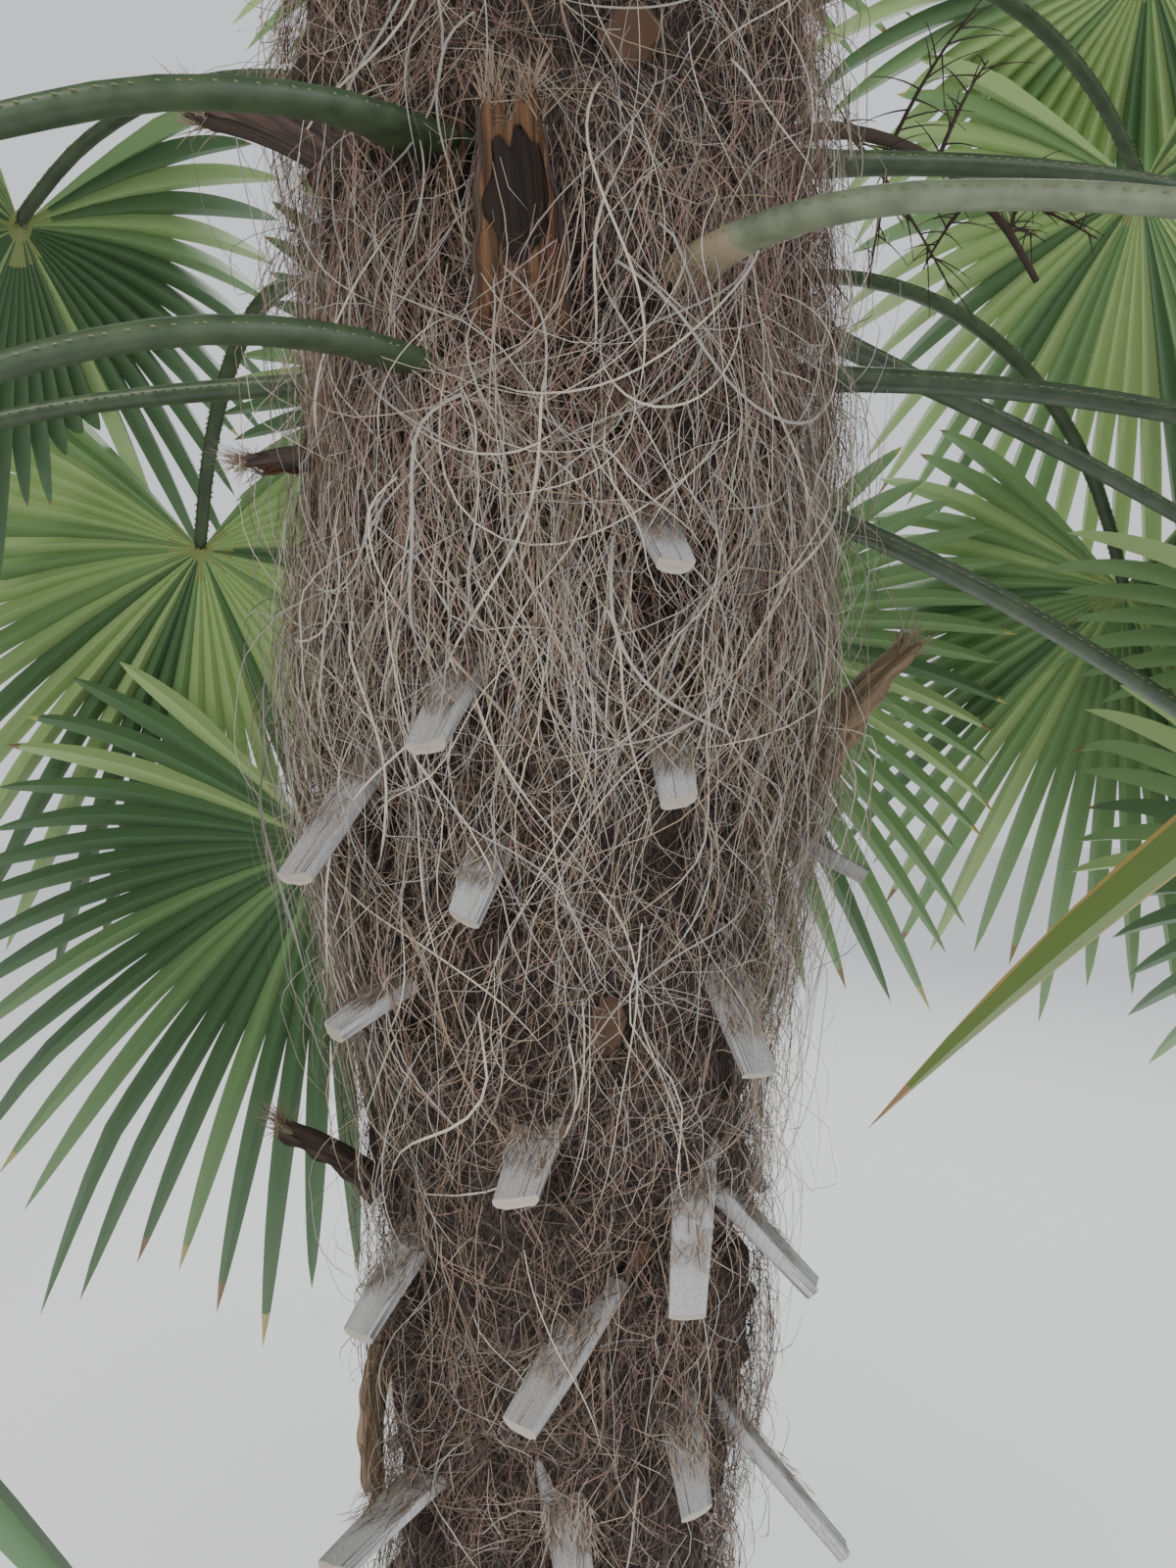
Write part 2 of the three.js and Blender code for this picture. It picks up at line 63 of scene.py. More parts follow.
# Lights, as name, place, aim, size, power and colour, and floor
LIGHTS = (
    ("key", (-1.9, -3.2, 3.4), (0, 0, 1.4), 2.2, 130, (1.0, 0.97, 0.93)),
    ("fill", (2.6, -2.4, 1.8), (0, 0, 1.3), 2.6, 45, (0.93, 0.96, 1.0)),
    ("back", (1.2, 3.4, 3.6), (0, 0, 1.8), 2.4, 115, (1.0, 1.0, 1.0)),
)
BACKDROP = (0.88, 0.90, 0.94, 1)
FLOOR_HALF = 9.0

# Trunk with its coat of fibre
TRUNK_TOP = 2.2
WAIST = 0.128
FLARE = 0.048
FLARE_FADE = 0.12
SWELL = 0.046
SWELL_SPAN = (0.75, 1.5)
TIP = 0.055
TAPER_SPAN = (1.8, 2.18)
LEVEL_FOOT = 0.06
# Arms, pitch and depth of the spirals of old leaf bases
SPIRALS = ((5, 0.062, 0.008), (3, -0.088, 0.006))
COAT_ROWS = 250
COAT_COLUMNS = 120
COAT_UNDER = 0.013
COAT_RIPPLES = ((0.02, 3), (0.006, 8))
# Hollows under the stubs, where the fibre parts, and the ledge of fibre above each
HOLLOW_BELOW = 0.024
HOLLOW_HALF = (0.030, 0.016)
HOLLOW_DEEP = 0.018
LEDGE_ABOVE = 2.0
LEDGE_OUT = 0.006
# Other hollows, as turn, height and size
OTHER_HOLLOWS = (
    (-80, 1.602, 1.5), (-79, 1.560, 1.1), (-50, 1.546, 1.3), (-65, 1.614, 1.3), (-76, 1.755, 1.6),
    (-71, 1.303, 1.5), (-60, 1.300, 1.0), (-79, 1.190, 1.2), (-101, 1.195, 1.2), (-100, 1.490, 1.1),
    (-66, 1.025, 0.9), (-103, 0.885, 1.3), (-72, 0.873, 1.3), (-112, 1.700, 1.2), (-122, 1.120, 1.0),
    (-40, 1.850, 1.6), (20, 1.62, 1.5), (80, 1.70, 1.6), (130, 1.40, 1.4), (60, 1.30, 1.5),
    (170, 1.55, 1.4), (100, 1.05, 1.3), (30, 1.00, 1.2), (150, 1.85, 1.6), (-10, 1.15, 1.2),
)
# Curled scraps of old leaf bases that lie in every third of the other hollows
SCRAP_HALF = (0.013, 0.017)
SCRAP_SUNK = 0.011

# Cut leaf stalks
Stub = namedtuple("Stub", "turn foot yaw drop reach width")
STUB_SUNK = 0.042
STUB_THICK = 0.013
STUB_ROOT_WIDER = 1.12
SEEN_STUBS = [Stub(*row) for row in (
    (-70, 1.491, 2, 40, 0.042, 0.025), (-108, 1.403, -8, 45, 0.056, 0.028),
    (-66, 1.357, -20, 41, 0.040, 0.025), (-135, 1.345, 16, 41, 0.090, 0.026),
    (-106, 1.291, -6, 42, 0.044, 0.029), (-52, 1.209, -5, 55, 0.056, 0.027),
    (-133, 1.202, 4, 19, 0.046, 0.024), (-95, 1.121, -12, 31, 0.045, 0.030),
    (-53, 1.071, -45, 44, 0.078, 0.027), (-86, 0.993, -35, 24, 0.068, 0.029),
    (-137, 1.026, 20, 30, 0.070, 0.028), (-50, 0.896, -32, 31, 0.052, 0.028),
    (-134, 0.859, 8, 10, 0.072, 0.029), (-88, 0.849, 11, 38, 0.040, 0.028),
    (-20, 0.866, 14, 50, 0.118, 0.018), (-10, 1.288, 8, 28, 0.054, 0.022),
    (-32, 1.039, 27, 47, 0.070, 0.032),
)]
STUB_STEP = 0.031
STUB_SPAN = (0.13, 1.47)
STUB_USUAL = Stub(0, 0, 0, 52, 0.066, 0.029)
STUB_VARIES = Stub(0, 0, 24, 10, 0.022, 0)
SEEN_FROM = 0.74
FAR_SIDE = 0.3
STUB_ROWS = 10
STUB_SIDES = 24
STUB_SQUARE = 0.5
STUB_SLANT = 0.16
STUB_END_WIDE = (0.70, 0.94)
STUB_THICKS = (1.1, 0.75)
STUB_CUP = 0.10
STUB_CRACKS = 9
# Share of a stub's and a husk's length that hair from above covers
STUB_COVERED = 0.62
HUSK_COVERED = 0.25
# Short hair on each stub's upper face
STUB_WOOL = 150
WOOL_COLOURS = ("brown", "tan", "grey")
SHORT_HAIR = (0.006, 0.020)
FINE_HAIR = (0.0004, 0.0008)

# Brown husks, curled like a boat with its hollow towards the trunk (1) or away (-1)
Husk = namedtuple("Husk", "name turn foot yaw lift reach width hollow")
HUSKS = (
    Husk("husk_front", -97, 1.598, 6, 72, 0.108, 0.054, -1),
    Husk("husk_left", -143, 1.698, -38, 38, 0.096, 0.062, 1),
    Husk("husk_right", -12, 1.338, 20, 62, 0.108, 0.052, -1),
    Husk("trunk", -151, 1.548, -30, 11, 0.058, 0.044, -1),
    Husk("trunk", -168, 1.040, -17, 43, 0.074, 0.034, -1),
    Husk("trunk", -166, 0.928, -10, -68, 0.112, 0.050, 1),
)
HUSK_SUNK = 0.016
HUSK_ROWS = 26
HUSK_COLUMNS = 22
HUSK_BOW = 78
HUSK_DROOP = 14
HUSK_TORN = (0.10, 0.05)
HUSK_WRINKLES = (0.0018, 0.0012)
HUSK_WALL = 0.0032
HUSK_LINING = 0.0004
# Painted shade in the hollow, a dark sheet laid where shade falls, and hairs on the rim
Shade = namedtuple("Shade", "at half bow rows columns")
HUSK_SHADE = Shade(0.62, 0.30, 58, 15, 9)
HUSK_TUFT = 160
PALE_HUSKS = (2, 5)

# Fronds
Frond = namedtuple("Frond", "turn heading foot rise fall stalk twist", defaults=(0,))
LOW_FRONDS = [Frond(*row) for row in (
    (-2, 15, 1.531, -22, -39, 0.669), (140, 104, 1.499, 7, -78, 0.648),
    (-117, -169, 1.578, 4, -76, 0.640, -70), (-6, -1, 1.608, -2, -39, 0.787, 18),
    (135, 121, 1.624, 44, -70, 0.797, 4), (26, 15, 1.692, -16, -31, 0.740, -6),
    (166, 176, 1.617, 2, -40, 0.725, -4), (-63, -14, 1.633, 6, -37, 0.558, -101),
    (60, 34, 1.685, 30, -69, 0.902, -18), (-118, -180, 1.711, -6, -28, 0.702, 5),
    (88, 70, 1.635, 22, -65, 0.714, -8), (112, 159, 1.770, 50, -44, 0.664),
    (12, 8, 1.767, 7, -36, 0.751), (48, 36, 1.830, 52, -45, 0.780), (84, 107, 1.746, 41, -45, 0.704, 8),
)]
HIGH_FRONDS = 12
HIGH_FOOT = 1.852
HIGH_STEP = 0.023
HIGH_TURN = -100
HIGH_RISE = (54, 80)
HIGH_FALL = (-26, 66)
HIGH_STALK = (0.740, 0.640)
STALK_SUNK = 0.026
STALK_BITE = 0.003
STALK_STEPS = 8
STALK_BEND = 1.35
STALK_SWING = 0.35
STALK_WIDTH = (0.034, 0.015)
STALK_THICK = (0.017, 0.009)
STALK_FLARE = 0.5
STALK_SECTION = (
    (-0.5, 0.04), (-0.42, -0.3), (-0.24, -0.46), (0.0, -0.36), (0.24, -0.46), (0.42, -0.3),
    (0.5, 0.04), (0.40, 0.34), (0.2, 0.48), (0.0, 0.5), (-0.2, 0.48), (-0.40, 0.34),
)
STALK_FINER = 3
# The torn frond close to the camera, whose leaflets are slenderer and brown along their margins
NEAR_FROND = 8
NEAR_TONE = "olive"
NEAR_TAPER = 1.02
STALK_ROOT_ROWS = 3
MARGIN = 0.13
# Teeth, free of both ends of a stalk
TOOTH_STEP = 0.009
TOOTH_LONG = 0.0032
TOOTH_ROOT = 0.0034
TOOTH_FREE = (0.06, 0.01)
# Radius and height of each ring of the boss where the stalk meets the blade
KNOB_RINGS = ((0.010, 0.001), (0.008, 0.0045), (0.0001, 0.006))

BLADE_REACH = 0.5
BLADE_THICK = 0.0052
BLADE_SPREAD = 142
BLADE_FOLD = (20, 6)
SEAT_GAP = 0.00035
BACK_LONG = 0.013
CAD_LEAFLETS = 26
LEAFLETS = 44
SPLIT_AT = 0.45
SIDE_SHORTER = 0.28
UNEVEN = 0.05
DROOP = 0.12
DROOP_POWER = 2.2
CUP = 0.1
SHORTER = (1, 0.86, 0.74, 0.62)
STUMP = 0.5
JOINED_ROWS = (0, 0.03, 0.08, 0.2, 0.32, 0.45)
FREE_ROWS = (0.12, 0.26, 0.4, 0.54, 0.68, 0.8, 0.9, 1.0)
LEAFLET_TAPER = 0.72
PLEAT = 0.32
# How far leaflets sag at their tips, and the share that is broken, drops further and from where
SAG = 0.035
BROKEN = 0.16
BROKEN_DROP = (0.02, 0.09)
BROKEN_FROM = 0.5
# Tones, with their odds for a whole fan and for a single leaflet
USUAL_TONES = ("dark", "middle", "light")
FAN_ODDS = (0.3, 0.5, 0.2)
LEAFLET_ODDS = (0.3, 0.45, 0.25)
SAME_TONE = 0.5
# Fans that are all of one tone, more or less. The dark and light tones here are partly painted shade, on fans
# that lie in shade, and painted light, on fans lit from behind; the olive is the near frond's own colour
FAN_TONES = {
    2: "dark", 3: "dark", 5: "light", NEAR_FROND: NEAR_TONE, 9: "middle", 11: "middle", 12: "dark",
    14: "light",
}
TIPS = ("yellow", "brown", "own")
TIP_ODDS = (0.22, 0.2, 0.58)
# Rows that are pale at a leaflet's root, and in this share of the leaflets one more
ROOT_ROWS = 2
LONG_ROOTS = 0.3

# Spear of unopened leaves and the dried flower stalk
Spear = namedtuple("Spear", "turn lean reach width")
SPEARS = (Spear(30, 3, 0.760, 0.044), Spear(150, 9, 0.610, 0.036), Spear(270, 12, 0.520, 0.032))
SPEAR_SHARES = (0, 0.18, 0.45, 0.75, 1)
SPEAR_WIDTHS = (0.6, 0.9, 1, 0.7, 0.08)
SPEAR_PLEATS = 11
SPEAR_PLEAT = 0.72
SPEAR_ROWS = 24
FLOWER = Frond(40, 30, 1.800, 30, -50, 0.420)
FLOWER_WIDTH = (0.020, 0.006)
TWIGS = 10
TWIG_REACH = 0.150
TWIG_WIDTH = 0.005
TWIG_SAG = 0.25
TWIG_FROM = 3
# Twigs on each twig, their shares of its length and of its width
SIDE_TWIGS = 14
SIDE_REACH = (0.2, 0.45)
SIDE_WIDTH = 0.4

# Hair by kinds. A pair is a range, drawn from evenly, and a single number a spread about 0. Settle is the
# share of its lean that a hair loses, off where it starts off the coat and slack how much further it may
# stand. Lean, waver and lift are in degrees, curl in radians a metre. Width ends in a power.
Hair = namedtuple(
    "Hair", "count length lean settle curl waver wave phase lift off slack steps roll twirl width",
)
ANY = (0, ROUND)
MAT = Hair(
    58000, (0.022, 0.075), 0, 0.3, 1, (5, 28), (0.02, 0.07), ANY, (0, 30), (0.003, -0.013), 0, 4,
    (-0.6, 0.6), 0, (0.00040, 0.00075, 1),
)
LOCK = Hair(
    24, (0.05, 0.24), 9, 0.85, 2.8, (8, 30), (0.8, 1.25), 0.8, (0, 34), (0, 0.005), (0.002, 0.017), 10,
    (-0.7, 0.7), 0.9, (0.00045, 0.00125, 2),
)
STRAP = Hair(
    280, (0.09, 0.28), 26, 0.8, 6, (8, 32), (0.12, 0.3), ANY, (10, 45), (0.004, 0.012), (0.004, 0.022), 18,
    (-0.4, 0.4), 1.1, (0.0009, 0.0022, 2),
)
FUZZ = Hair(
    10000, (0.03, 0.10), 50, 0.5, 12, (5, 25), (0.03, 0.09), ANY, (15, 75), (0, 0.006), (0.006, 0.034), 6,
    (0, math.pi), 0, (0.00038, 0.00065, 1),
)
FLYAWAY = Hair(
    1500, (0.08, 0.24), 28, 0.7, 5, (5, 24), (0.08, 0.22), ANY, (30, 80), (0.002, 0.008), (0.012, 0.055),
    12, (0, math.pi), 0, (0.0004, 0.0008, 1),
)
# Curls of the mat and the share of it that lies level, low down and under the crown
MAT_CURLS = (16, 28)
MAT_LEVEL = (0.42, 0.12)
LEVEL_LEAN = (60, 105)
LOCKS = 340
# Share of each kind that goes into hollows all the same
MAT_IN_HOLLOWS = 0.12
LOCKS_IN_HOLLOWS = 0.35
# Share of each kind that may cross the face of a stub or husk
KEPT = {"mat": 0.25, "lock": 0.1, "strap": 0.1, "fuzz": 0.3, "flyaway": 0.1}

# Looks. A grain has so many waves to the metre out from the trunk, across and up, and its two tones meet
# between low and high
Grain = namedtuple("Grain", "roughness out across up detail strength distance low high")
BARK_GRAIN = Grain(0.95, 900, 900, 110, 2.0, 0.9, 0.003, 0.4, 0.68)
HUSK_GRAIN = Grain(0.75, 12, 420, 12, 3.0, 0.8, 0.002, 0.3, 0.7)
STUB_GRAIN = Grain(0.85, 800, 800, 200, 2.0, 0.6, 0.0008, 0.25, 0.75)
STALK_GRAIN = Grain(0.42, 60, 60, 30, 6.0, 0.25, 0.001, 0.3, 0.7)
GRAINED = {
    "bark": (BARK_GRAIN, (0.010, 0.007, 0.006), (0.12, 0.08, 0.062)),
    "stub_pale": (STUB_GRAIN, (0.36, 0.35, 0.355), (0.54, 0.53, 0.55)),
    "stub_grey": (STUB_GRAIN, (0.27, 0.255, 0.255), (0.41, 0.40, 0.41)),
    "stalk_dark": (STALK_GRAIN, (0.035, 0.06, 0.03), (0.075, 0.11, 0.055)),
    "stalk_pale": (STALK_GRAIN, (0.14, 0.17, 0.11), (0.27, 0.30, 0.20)),
    "spear": (STALK_GRAIN, (0.14, 0.22, 0.07), (0.24, 0.32, 0.12)),
    # husk_shade is painted shade, the near-black tones of the sheet laid in a husk's hollow
    "husk_shade": (HUSK_GRAIN, (0.006, 0.004, 0.004), (0.036, 0.018, 0.012), HUSKS[0].turn),
}
HUSK_DARK = ((0.018, 0.011, 0.010), (0.115, 0.070, 0.055))
HUSK_PALE = ((0.12, 0.075, 0.045), (0.40, 0.28, 0.18))
HUSK_LINED = ((0.035, 0.018, 0.011), (0.29, 0.145, 0.07))
# Colour and roughness
PLAIN = {
    "teeth": ((0.24, 0.25, 0.12), 0.6),
    "stalk_root": ((0.36, 0.30, 0.20), 0.7),
    "stub_crack": ((0.07, 0.055, 0.05), 0.95),
    "stub_cut": ((0.46, 0.415, 0.35), 0.9),
    "scrap": ((0.105, 0.056, 0.034), 0.85),
    "flower": ((0.06, 0.04, 0.03), 0.9),
}
# Roughness and colours
SETS = {
    "strand": (0.8, {
        "straw": (0.56, 0.50, 0.42),
        "grey": (0.36, 0.325, 0.30),
        "tan": (0.31, 0.23, 0.17),
        "brown": (0.135, 0.092, 0.069),
        "red": (0.30, 0.182, 0.156),
        "dark": (0.031, 0.022, 0.019),
    }),
    "leaf": (0.46, {
        "dark": (0.11, 0.20, 0.095),
        "middle": (0.23, 0.37, 0.165),
        "light": (0.41, 0.56, 0.24),
        "olive": (0.125, 0.185, 0.05),
        "root": (0.38, 0.43, 0.18),
        "yellow": (0.50, 0.46, 0.16),
        "brown": (0.28, 0.18, 0.09),
        "margin": (0.33, 0.24, 0.075),
    }),
}

rng = np.random.default_rng(SEED)


# Small sums

def smoothstep(x, low, high):
    share = np.clip((x - low) / (high - low), 0, 1)
    return share * share * (3 - 2 * share)


def lerp(low, high, share):
    return low + (high - low) * share


def unit(vectors):
    return vectors / np.maximum(np.linalg.norm(vectors, axis=-1, keepdims=True), 1e-9)


def round_trunk(radius, turn, height):
    radius, turn, height = np.broadcast_arrays(radius, turn, height)
    return np.stack([radius * np.cos(turn), radius * np.sin(turn), height], axis=-1)


def direction(heading, pitch):
    heading, pitch = np.radians(heading), np.radians(pitch)
    return round_trunk(np.cos(pitch), heading, np.sin(pitch))


def turned(vector, axis, angle):
    axis = unit(axis)
    along = axis * (vector @ axis)
    return along + (vector - along) * math.cos(angle) + np.cross(axis, vector) * math.sin(angle)


def circle(count):
    """Angles evenly round a circle."""
    return np.linspace(0, ROUND, count, endpoint=False)


def shares(count):
    """A column of numbers from 0 to 1."""
    return np.linspace(0, 1, count)[:, None]


def lot(value, count):
    """Draws evenly from a pair, or about 0 with a single number as the spread, unless that is 0."""
    if isinstance(value, tuple):
        return rng.uniform(*value, count)
    return rng.normal(0, value, count) if value else 0


def between(places, marks, points):
    """The points, which are at the marks, looked up at places between them."""
    return np.stack([np.interp(places, marks, points[:, k]) for k in range(3)], axis=-1)


# Meshes from grids of points

def grid(points, closed=False):
    """Points of shape (count, rows, columns, 3) as (points, quads), each grid on its own."""
    count, rows, columns = points.shape[:3]
    index = np.arange(count * rows * columns).reshape(count, rows, columns)
    here, there = (index, np.roll(index, -1, axis=2)) if closed else (index[..., :-1], index[..., 1:])
    quads = np.stack([here[:, :-1], there[:, :-1], there[:, 1:], here[:, 1:]], axis=-1)
    return points.reshape(-1, 3), quads.reshape(-1, 4)


def tube(rings):
    return grid(rings[None], closed=True)


def joined(shapes):
    points, faces, start = [], [], 0
    for some_points, some_faces in shapes:
        points.append(some_points)
        faces.append(some_faces + start)
        start += len(some_points)
    return np.concatenate(points), np.concatenate(faces)


def linked(name, data):
    made = bpy.data.objects.new(name, data)
    bpy.context.collection.objects.link(made)
    return made


def piece(name, shape, look, nodes=(), flat=False):
    mesh = bpy.data.meshes.new(name)
    points, faces = shape
    mesh.from_pydata(points, [], faces, shade_flat=flat)
    mesh.materials.append(LOOKS[look])
    made = linked(name, mesh)
    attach(made, BODY)
    if nodes:
        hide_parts(*nodes)


# Materials

LOOKS = {}


def material(name, colour, roughness):
    """Makes a material and keeps it in LOOKS."""
    made = bpy.data.materials.new(name)
    made.use_nodes = True
    shader = made.node_tree.nodes["Principled BSDF"]
    shader.inputs["Base Color"].default_value = (*colour, 1)
    shader.inputs["Roughness"].default_value = roughness
    LOOKS[name] = made
    return made


def node(tree, kind, **inputs):
    """A shader node with a value or another node's output at each of these inputs."""
    made = tree.nodes.new(f"ShaderNode{kind}")
    for name, value in inputs.items():
        if isinstance(value, bpy.types.NodeSocket):
            tree.links.new(value, made.inputs[name])
        else:
            made.inputs[name].default_value = value
    return made


def grained(name, grain, dark, light, turn=0):
    """A material of two tones, bumped and coloured by one noise that is turned about the trunk's axis."""
    made = material(name, light, grain.roughness)
    tree = made.node_tree
    place = node(tree, "TexCoord").outputs["Object"]
    scale = (1 / grain.out, 1 / grain.across, 1 / grain.up)
    stretched = node(tree, "Mapping", Vector=place, Rotation=(0, 0, math.radians(turn)), Scale=scale)
    stretched.vector_type = "TEXTURE"
    noise = node(tree, "TexNoise", Vector=stretched.outputs["Vector"], Scale=1.0, Detail=grain.detail)
    noise = noise.outputs["Fac"]
    bump = node(tree, "Bump", Height=noise, Strength=grain.strength, Distance=grain.distance)
    ramp = node(tree, "ValToRGB", Fac=noise)
    for stop, position, colour in zip(ramp.color_ramp.elements, (grain.low, grain.high), (dark, light)):
        stop.position = position
        stop.color = (*colour, 1)
    shader = tree.nodes["Principled BSDF"]
    tree.links.new(bump.outputs["Normal"], shader.inputs["Normal"])
    tree.links.new(ramp.outputs["Color"], shader.inputs["Base Color"])


def all_looks():
    for name, row in GRAINED.items():
        grained(name, *row)
    for name, row in PLAIN.items():
        material(name, *row)
    for kind, (roughness, colours) in SETS.items():
        for name, colour in colours.items():
            material(f"{kind}_{name}", colour, roughness)


# Camera, light and floor

def camera():
    data = bpy.data.cameras.new("camera")
    data.sensor_width = SENSOR
    data.lens = FOCAL_PIXELS / IMAGE_HIGH * SENSOR
    data.clip_start = 0.01
    made = linked("camera", data)
    made.location = CAMERA_AT
    made.rotation_euler = (math.radians(90 + CAMERA_TILT), 0, 0)
    bpy.context.scene.camera = made


def studio():
    for name, place, aim, size, power, colour in LIGHTS:
        data = bpy.data.lights.new(name, "AREA")
        data.size = size
        data.energy = power
        data.color = colour
        made = linked(name, data)
        made.location = place
        made.rotation_euler = (Vector(aim) - Vector(place)).to_track_quat("-Z", "Y").to_euler()
    world = bpy.data.worlds.new("studio")
    world.use_nodes = True
    backdrop = world.node_tree.nodes["Background"]
    backdrop.inputs["Color"].default_value = BACKDROP
    backdrop.inputs["Strength"].default_value = 0.95
    bpy.context.scene.world = world
    data = bpy.data.meshes.new("floor")
    half = FLOOR_HALF
    corners = [(-half, -half, 0), (half, -half, 0), (half, half, 0), (-half, half, 0)]
    data.from_pydata(corners, [], [(0, 1, 2, 3)])
    data.materials.append(material("floor", (0.8, 0.8, 0.79), 0.9))
    made = linked("floor", data)


# Trunk

def body_radius(height):
    flare = FLARE * np.exp(-height / FLARE_FADE)
    swell = SWELL * smoothstep(height, *SWELL_SPAN)
    taper = (WAIST + SWELL - TIP) * smoothstep(height, *TAPER_SPAN)
    return WAIST + flare + swell - taper


def coat_radius(height, turn):
    fade = smoothstep(height, 0, LEVEL_FOOT) * smoothstep(TRUNK_TOP - height, 0, LEVEL_FOOT)
    waves = sum(depth * np.sin(arms * turn + height / pitch) for arms, pitch, depth in SPIRALS)
    return body_radius(height) + fade * waves


def on_coat(turn, height):
    return direction(turn, 0) * coat_radius(height, math.radians(turn)) + UP * height


def ripple(height, turn, scale, seed):
    """Smooth noise round the trunk, about -1 to 1."""
    total = 0
    for i in range(5):
        arms = 2 + 3 * i + seed % 3
        up = (height / scale) * (1 + 0.7 * i)
        total = total + np.sin(arms * turn + up + seed * (1.7 + i)) / (1 + 0.5 * i)
    return total / 2.2


def stub_rows():
    low, high = STUB_SPAN
    hidden = []
    for i in range(int((high - low) / STUB_STEP)):
        turn = (i * GOLDEN_TURN + 180) % 360 - 180
        foot = low + i * STUB_STEP
        if foot < SEEN_FROM or math.sin(math.radians(turn)) > FAR_SIDE:
            waves = (0, 0, math.sin(i * 2.1), math.sin(i * 1.3), math.sin(i * 1.7), 0)
            row = Stub(*(usual + vary * wave for usual, vary, wave in zip(STUB_USUAL, STUB_VARIES, waves)))
            hidden.append(row._replace(turn=turn, foot=foot))
    return SEEN_STUBS + hidden


def hollows():
    """Turn in radians, height and size of each hollow."""
    places = [(row.turn, row.foot - HOLLOW_BELOW, 1) for row in stub_rows()]
    return [(math.radians(turn), height, size) for turn, height, size in places + list(OTHER_HOLLOWS)]


HOLLOWS = hollows()


def relief(height, turn):
    """How far the matted hair stands out beyond the coat, below 0 in a hollow."""
    height, turn = np.broadcast_arrays(height, turn)
    deep = ledge = np.zeros(turn.shape)
    for at_turn, at_height, size in HOLLOWS:
        wide, high = size * HOLLOW_HALF[0], size * HOLLOW_HALF[1]
        aside = (np.mod(turn - at_turn + math.pi, ROUND) - math.pi) * WAIST / wide
        up = (height - at_height) / high
        deep = np.maximum(deep, np.exp(-aside ** 2 - up ** 2))
        ledge = np.maximum(ledge, np.exp(-(aside / 1.5) ** 2 - (up - LEDGE_ABOVE) ** 2))
    return LEDGE_OUT * ledge - HOLLOW_DEEP * deep


def coat():
    height = np.linspace(0, TRUNK_TOP, COAT_ROWS)[:, None]
    turn = circle(COAT_COLUMNS)
    inside = smoothstep(height, 0, LEVEL_FOOT)
    rough = 0.005 * sum(ripple(height, turn, scale, seed) for scale, seed in COAT_RIPPLES)
    radius = coat_radius(height, turn) + inside * (rough + relief(height, turn) - COAT_UNDER)
    side = round_trunk(radius, turn, height)
    foot = np.zeros((1, COAT_COLUMNS, 3))
    return tube(np.concatenate([foot, side, foot + UP * TRUNK_TOP]))


# Stubs

def seat(row, along, sunk, low, high, half):
    across = direction(row.turn + row.yaw + 90, 0)
    start = on_coat(row.turn, row.foot) - sunk
    return Seat(start, along, across, np.cross(along, across), low, high, row.width * half)


def stub_seat(row):
    along = direction(row.turn + row.yaw, -row.drop)
    bare = STUB_SUNK + STUB_COVERED * row.reach
    return seat(row, along, along * STUB_SUNK, bare, STUB_SUNK + row.reach + 0.003, 0.45)


def stub_rings(row):
    """Rings from the sunk root to the slanting cut, rounded oblongs with fine ridges."""
    own = stub_seat(row)
    seeded = np.random.default_rng(int(row.foot * 1000))
    share = shares(STUB_ROWS)
    around = circle(STUB_SIDES)
    wide = np.sign(np.cos(around)) * np.abs(np.cos(around)) ** STUB_SQUARE
    thick = np.sign(np.sin(around)) * np.abs(np.sin(around)) ** STUB_SQUARE
    ridges = 0.0003 * seeded.normal(size=(1, STUB_SIDES)) * (0.5 + share)
    slant = share ** 3 * seeded.uniform(-STUB_SLANT, STUB_SLANT) * row.width * wide
    wave = share * seeded.uniform(3, 7) + seeded.uniform(0, 6) + 1.5 * np.sign(wide)
    half_wide = row.width / 2 * lerp(STUB_ROOT_WIDER, seeded.uniform(*STUB_END_WIDE), share)
    half_wide = half_wide * (1 + 0.05 * np.sin(wave))
    half_thick = STUB_THICK / 2 * lerp(*STUB_THICKS, share)
    cup = STUB_CUP * row.width * (wide ** 2 - 0.5)
    long = STUB_SUNK + row.reach - 0.001
    return (
        own.start
        + own.along * (share * long + slant)[..., None]
        + own.across * (half_wide * wide)[..., None]
        + own.over * (half_thick * thick + ridges + cup)[..., None]
    )


def stub_cut(row):
    """The cut face at a stub's free end, a little hollow."""
    rim = stub_rings(row)[-1:]
    middle = rim.mean(axis=1, keepdims=True)
    inset = lerp(rim, middle, 0.35) - stub_seat(row).along * 0.0006
    return tube(np.concatenate([rim, inset, np.broadcast_to(middle, rim.shape)]))


def stub_cracks(row):
    """Thin dark strips along the faces of a stub, a little above them."""
    rings = stub_rings(row)
    middle = rings.mean(axis=1, keepdims=True)
    seeded = np.random.default_rng(int(row.foot * 1000) + 1)
    strips = []
    for _ in range(STUB_CRACKS):
        place = seeded.uniform(0, STUB_SIDES)
        first, aside = int(place), place % 1
        low = seeded.integers(STUB_ROWS // 2, STUB_ROWS - 2)
        line = lerp(rings[low:, first], rings[low:, (first + 1) % STUB_SIDES], aside)
        out = unit(line - middle[low:, 0])
        half = unit(np.cross(out, stub_seat(row).along)) * seeded.uniform(0.0001, 0.0004)
        half = half * np.linspace(0.1, 1, len(line))[:, None]
        raised = line + out * 0.0002
        strips.append(grid(np.stack([raised - half, raised + half], axis=1)[None]))
    return joined(strips)


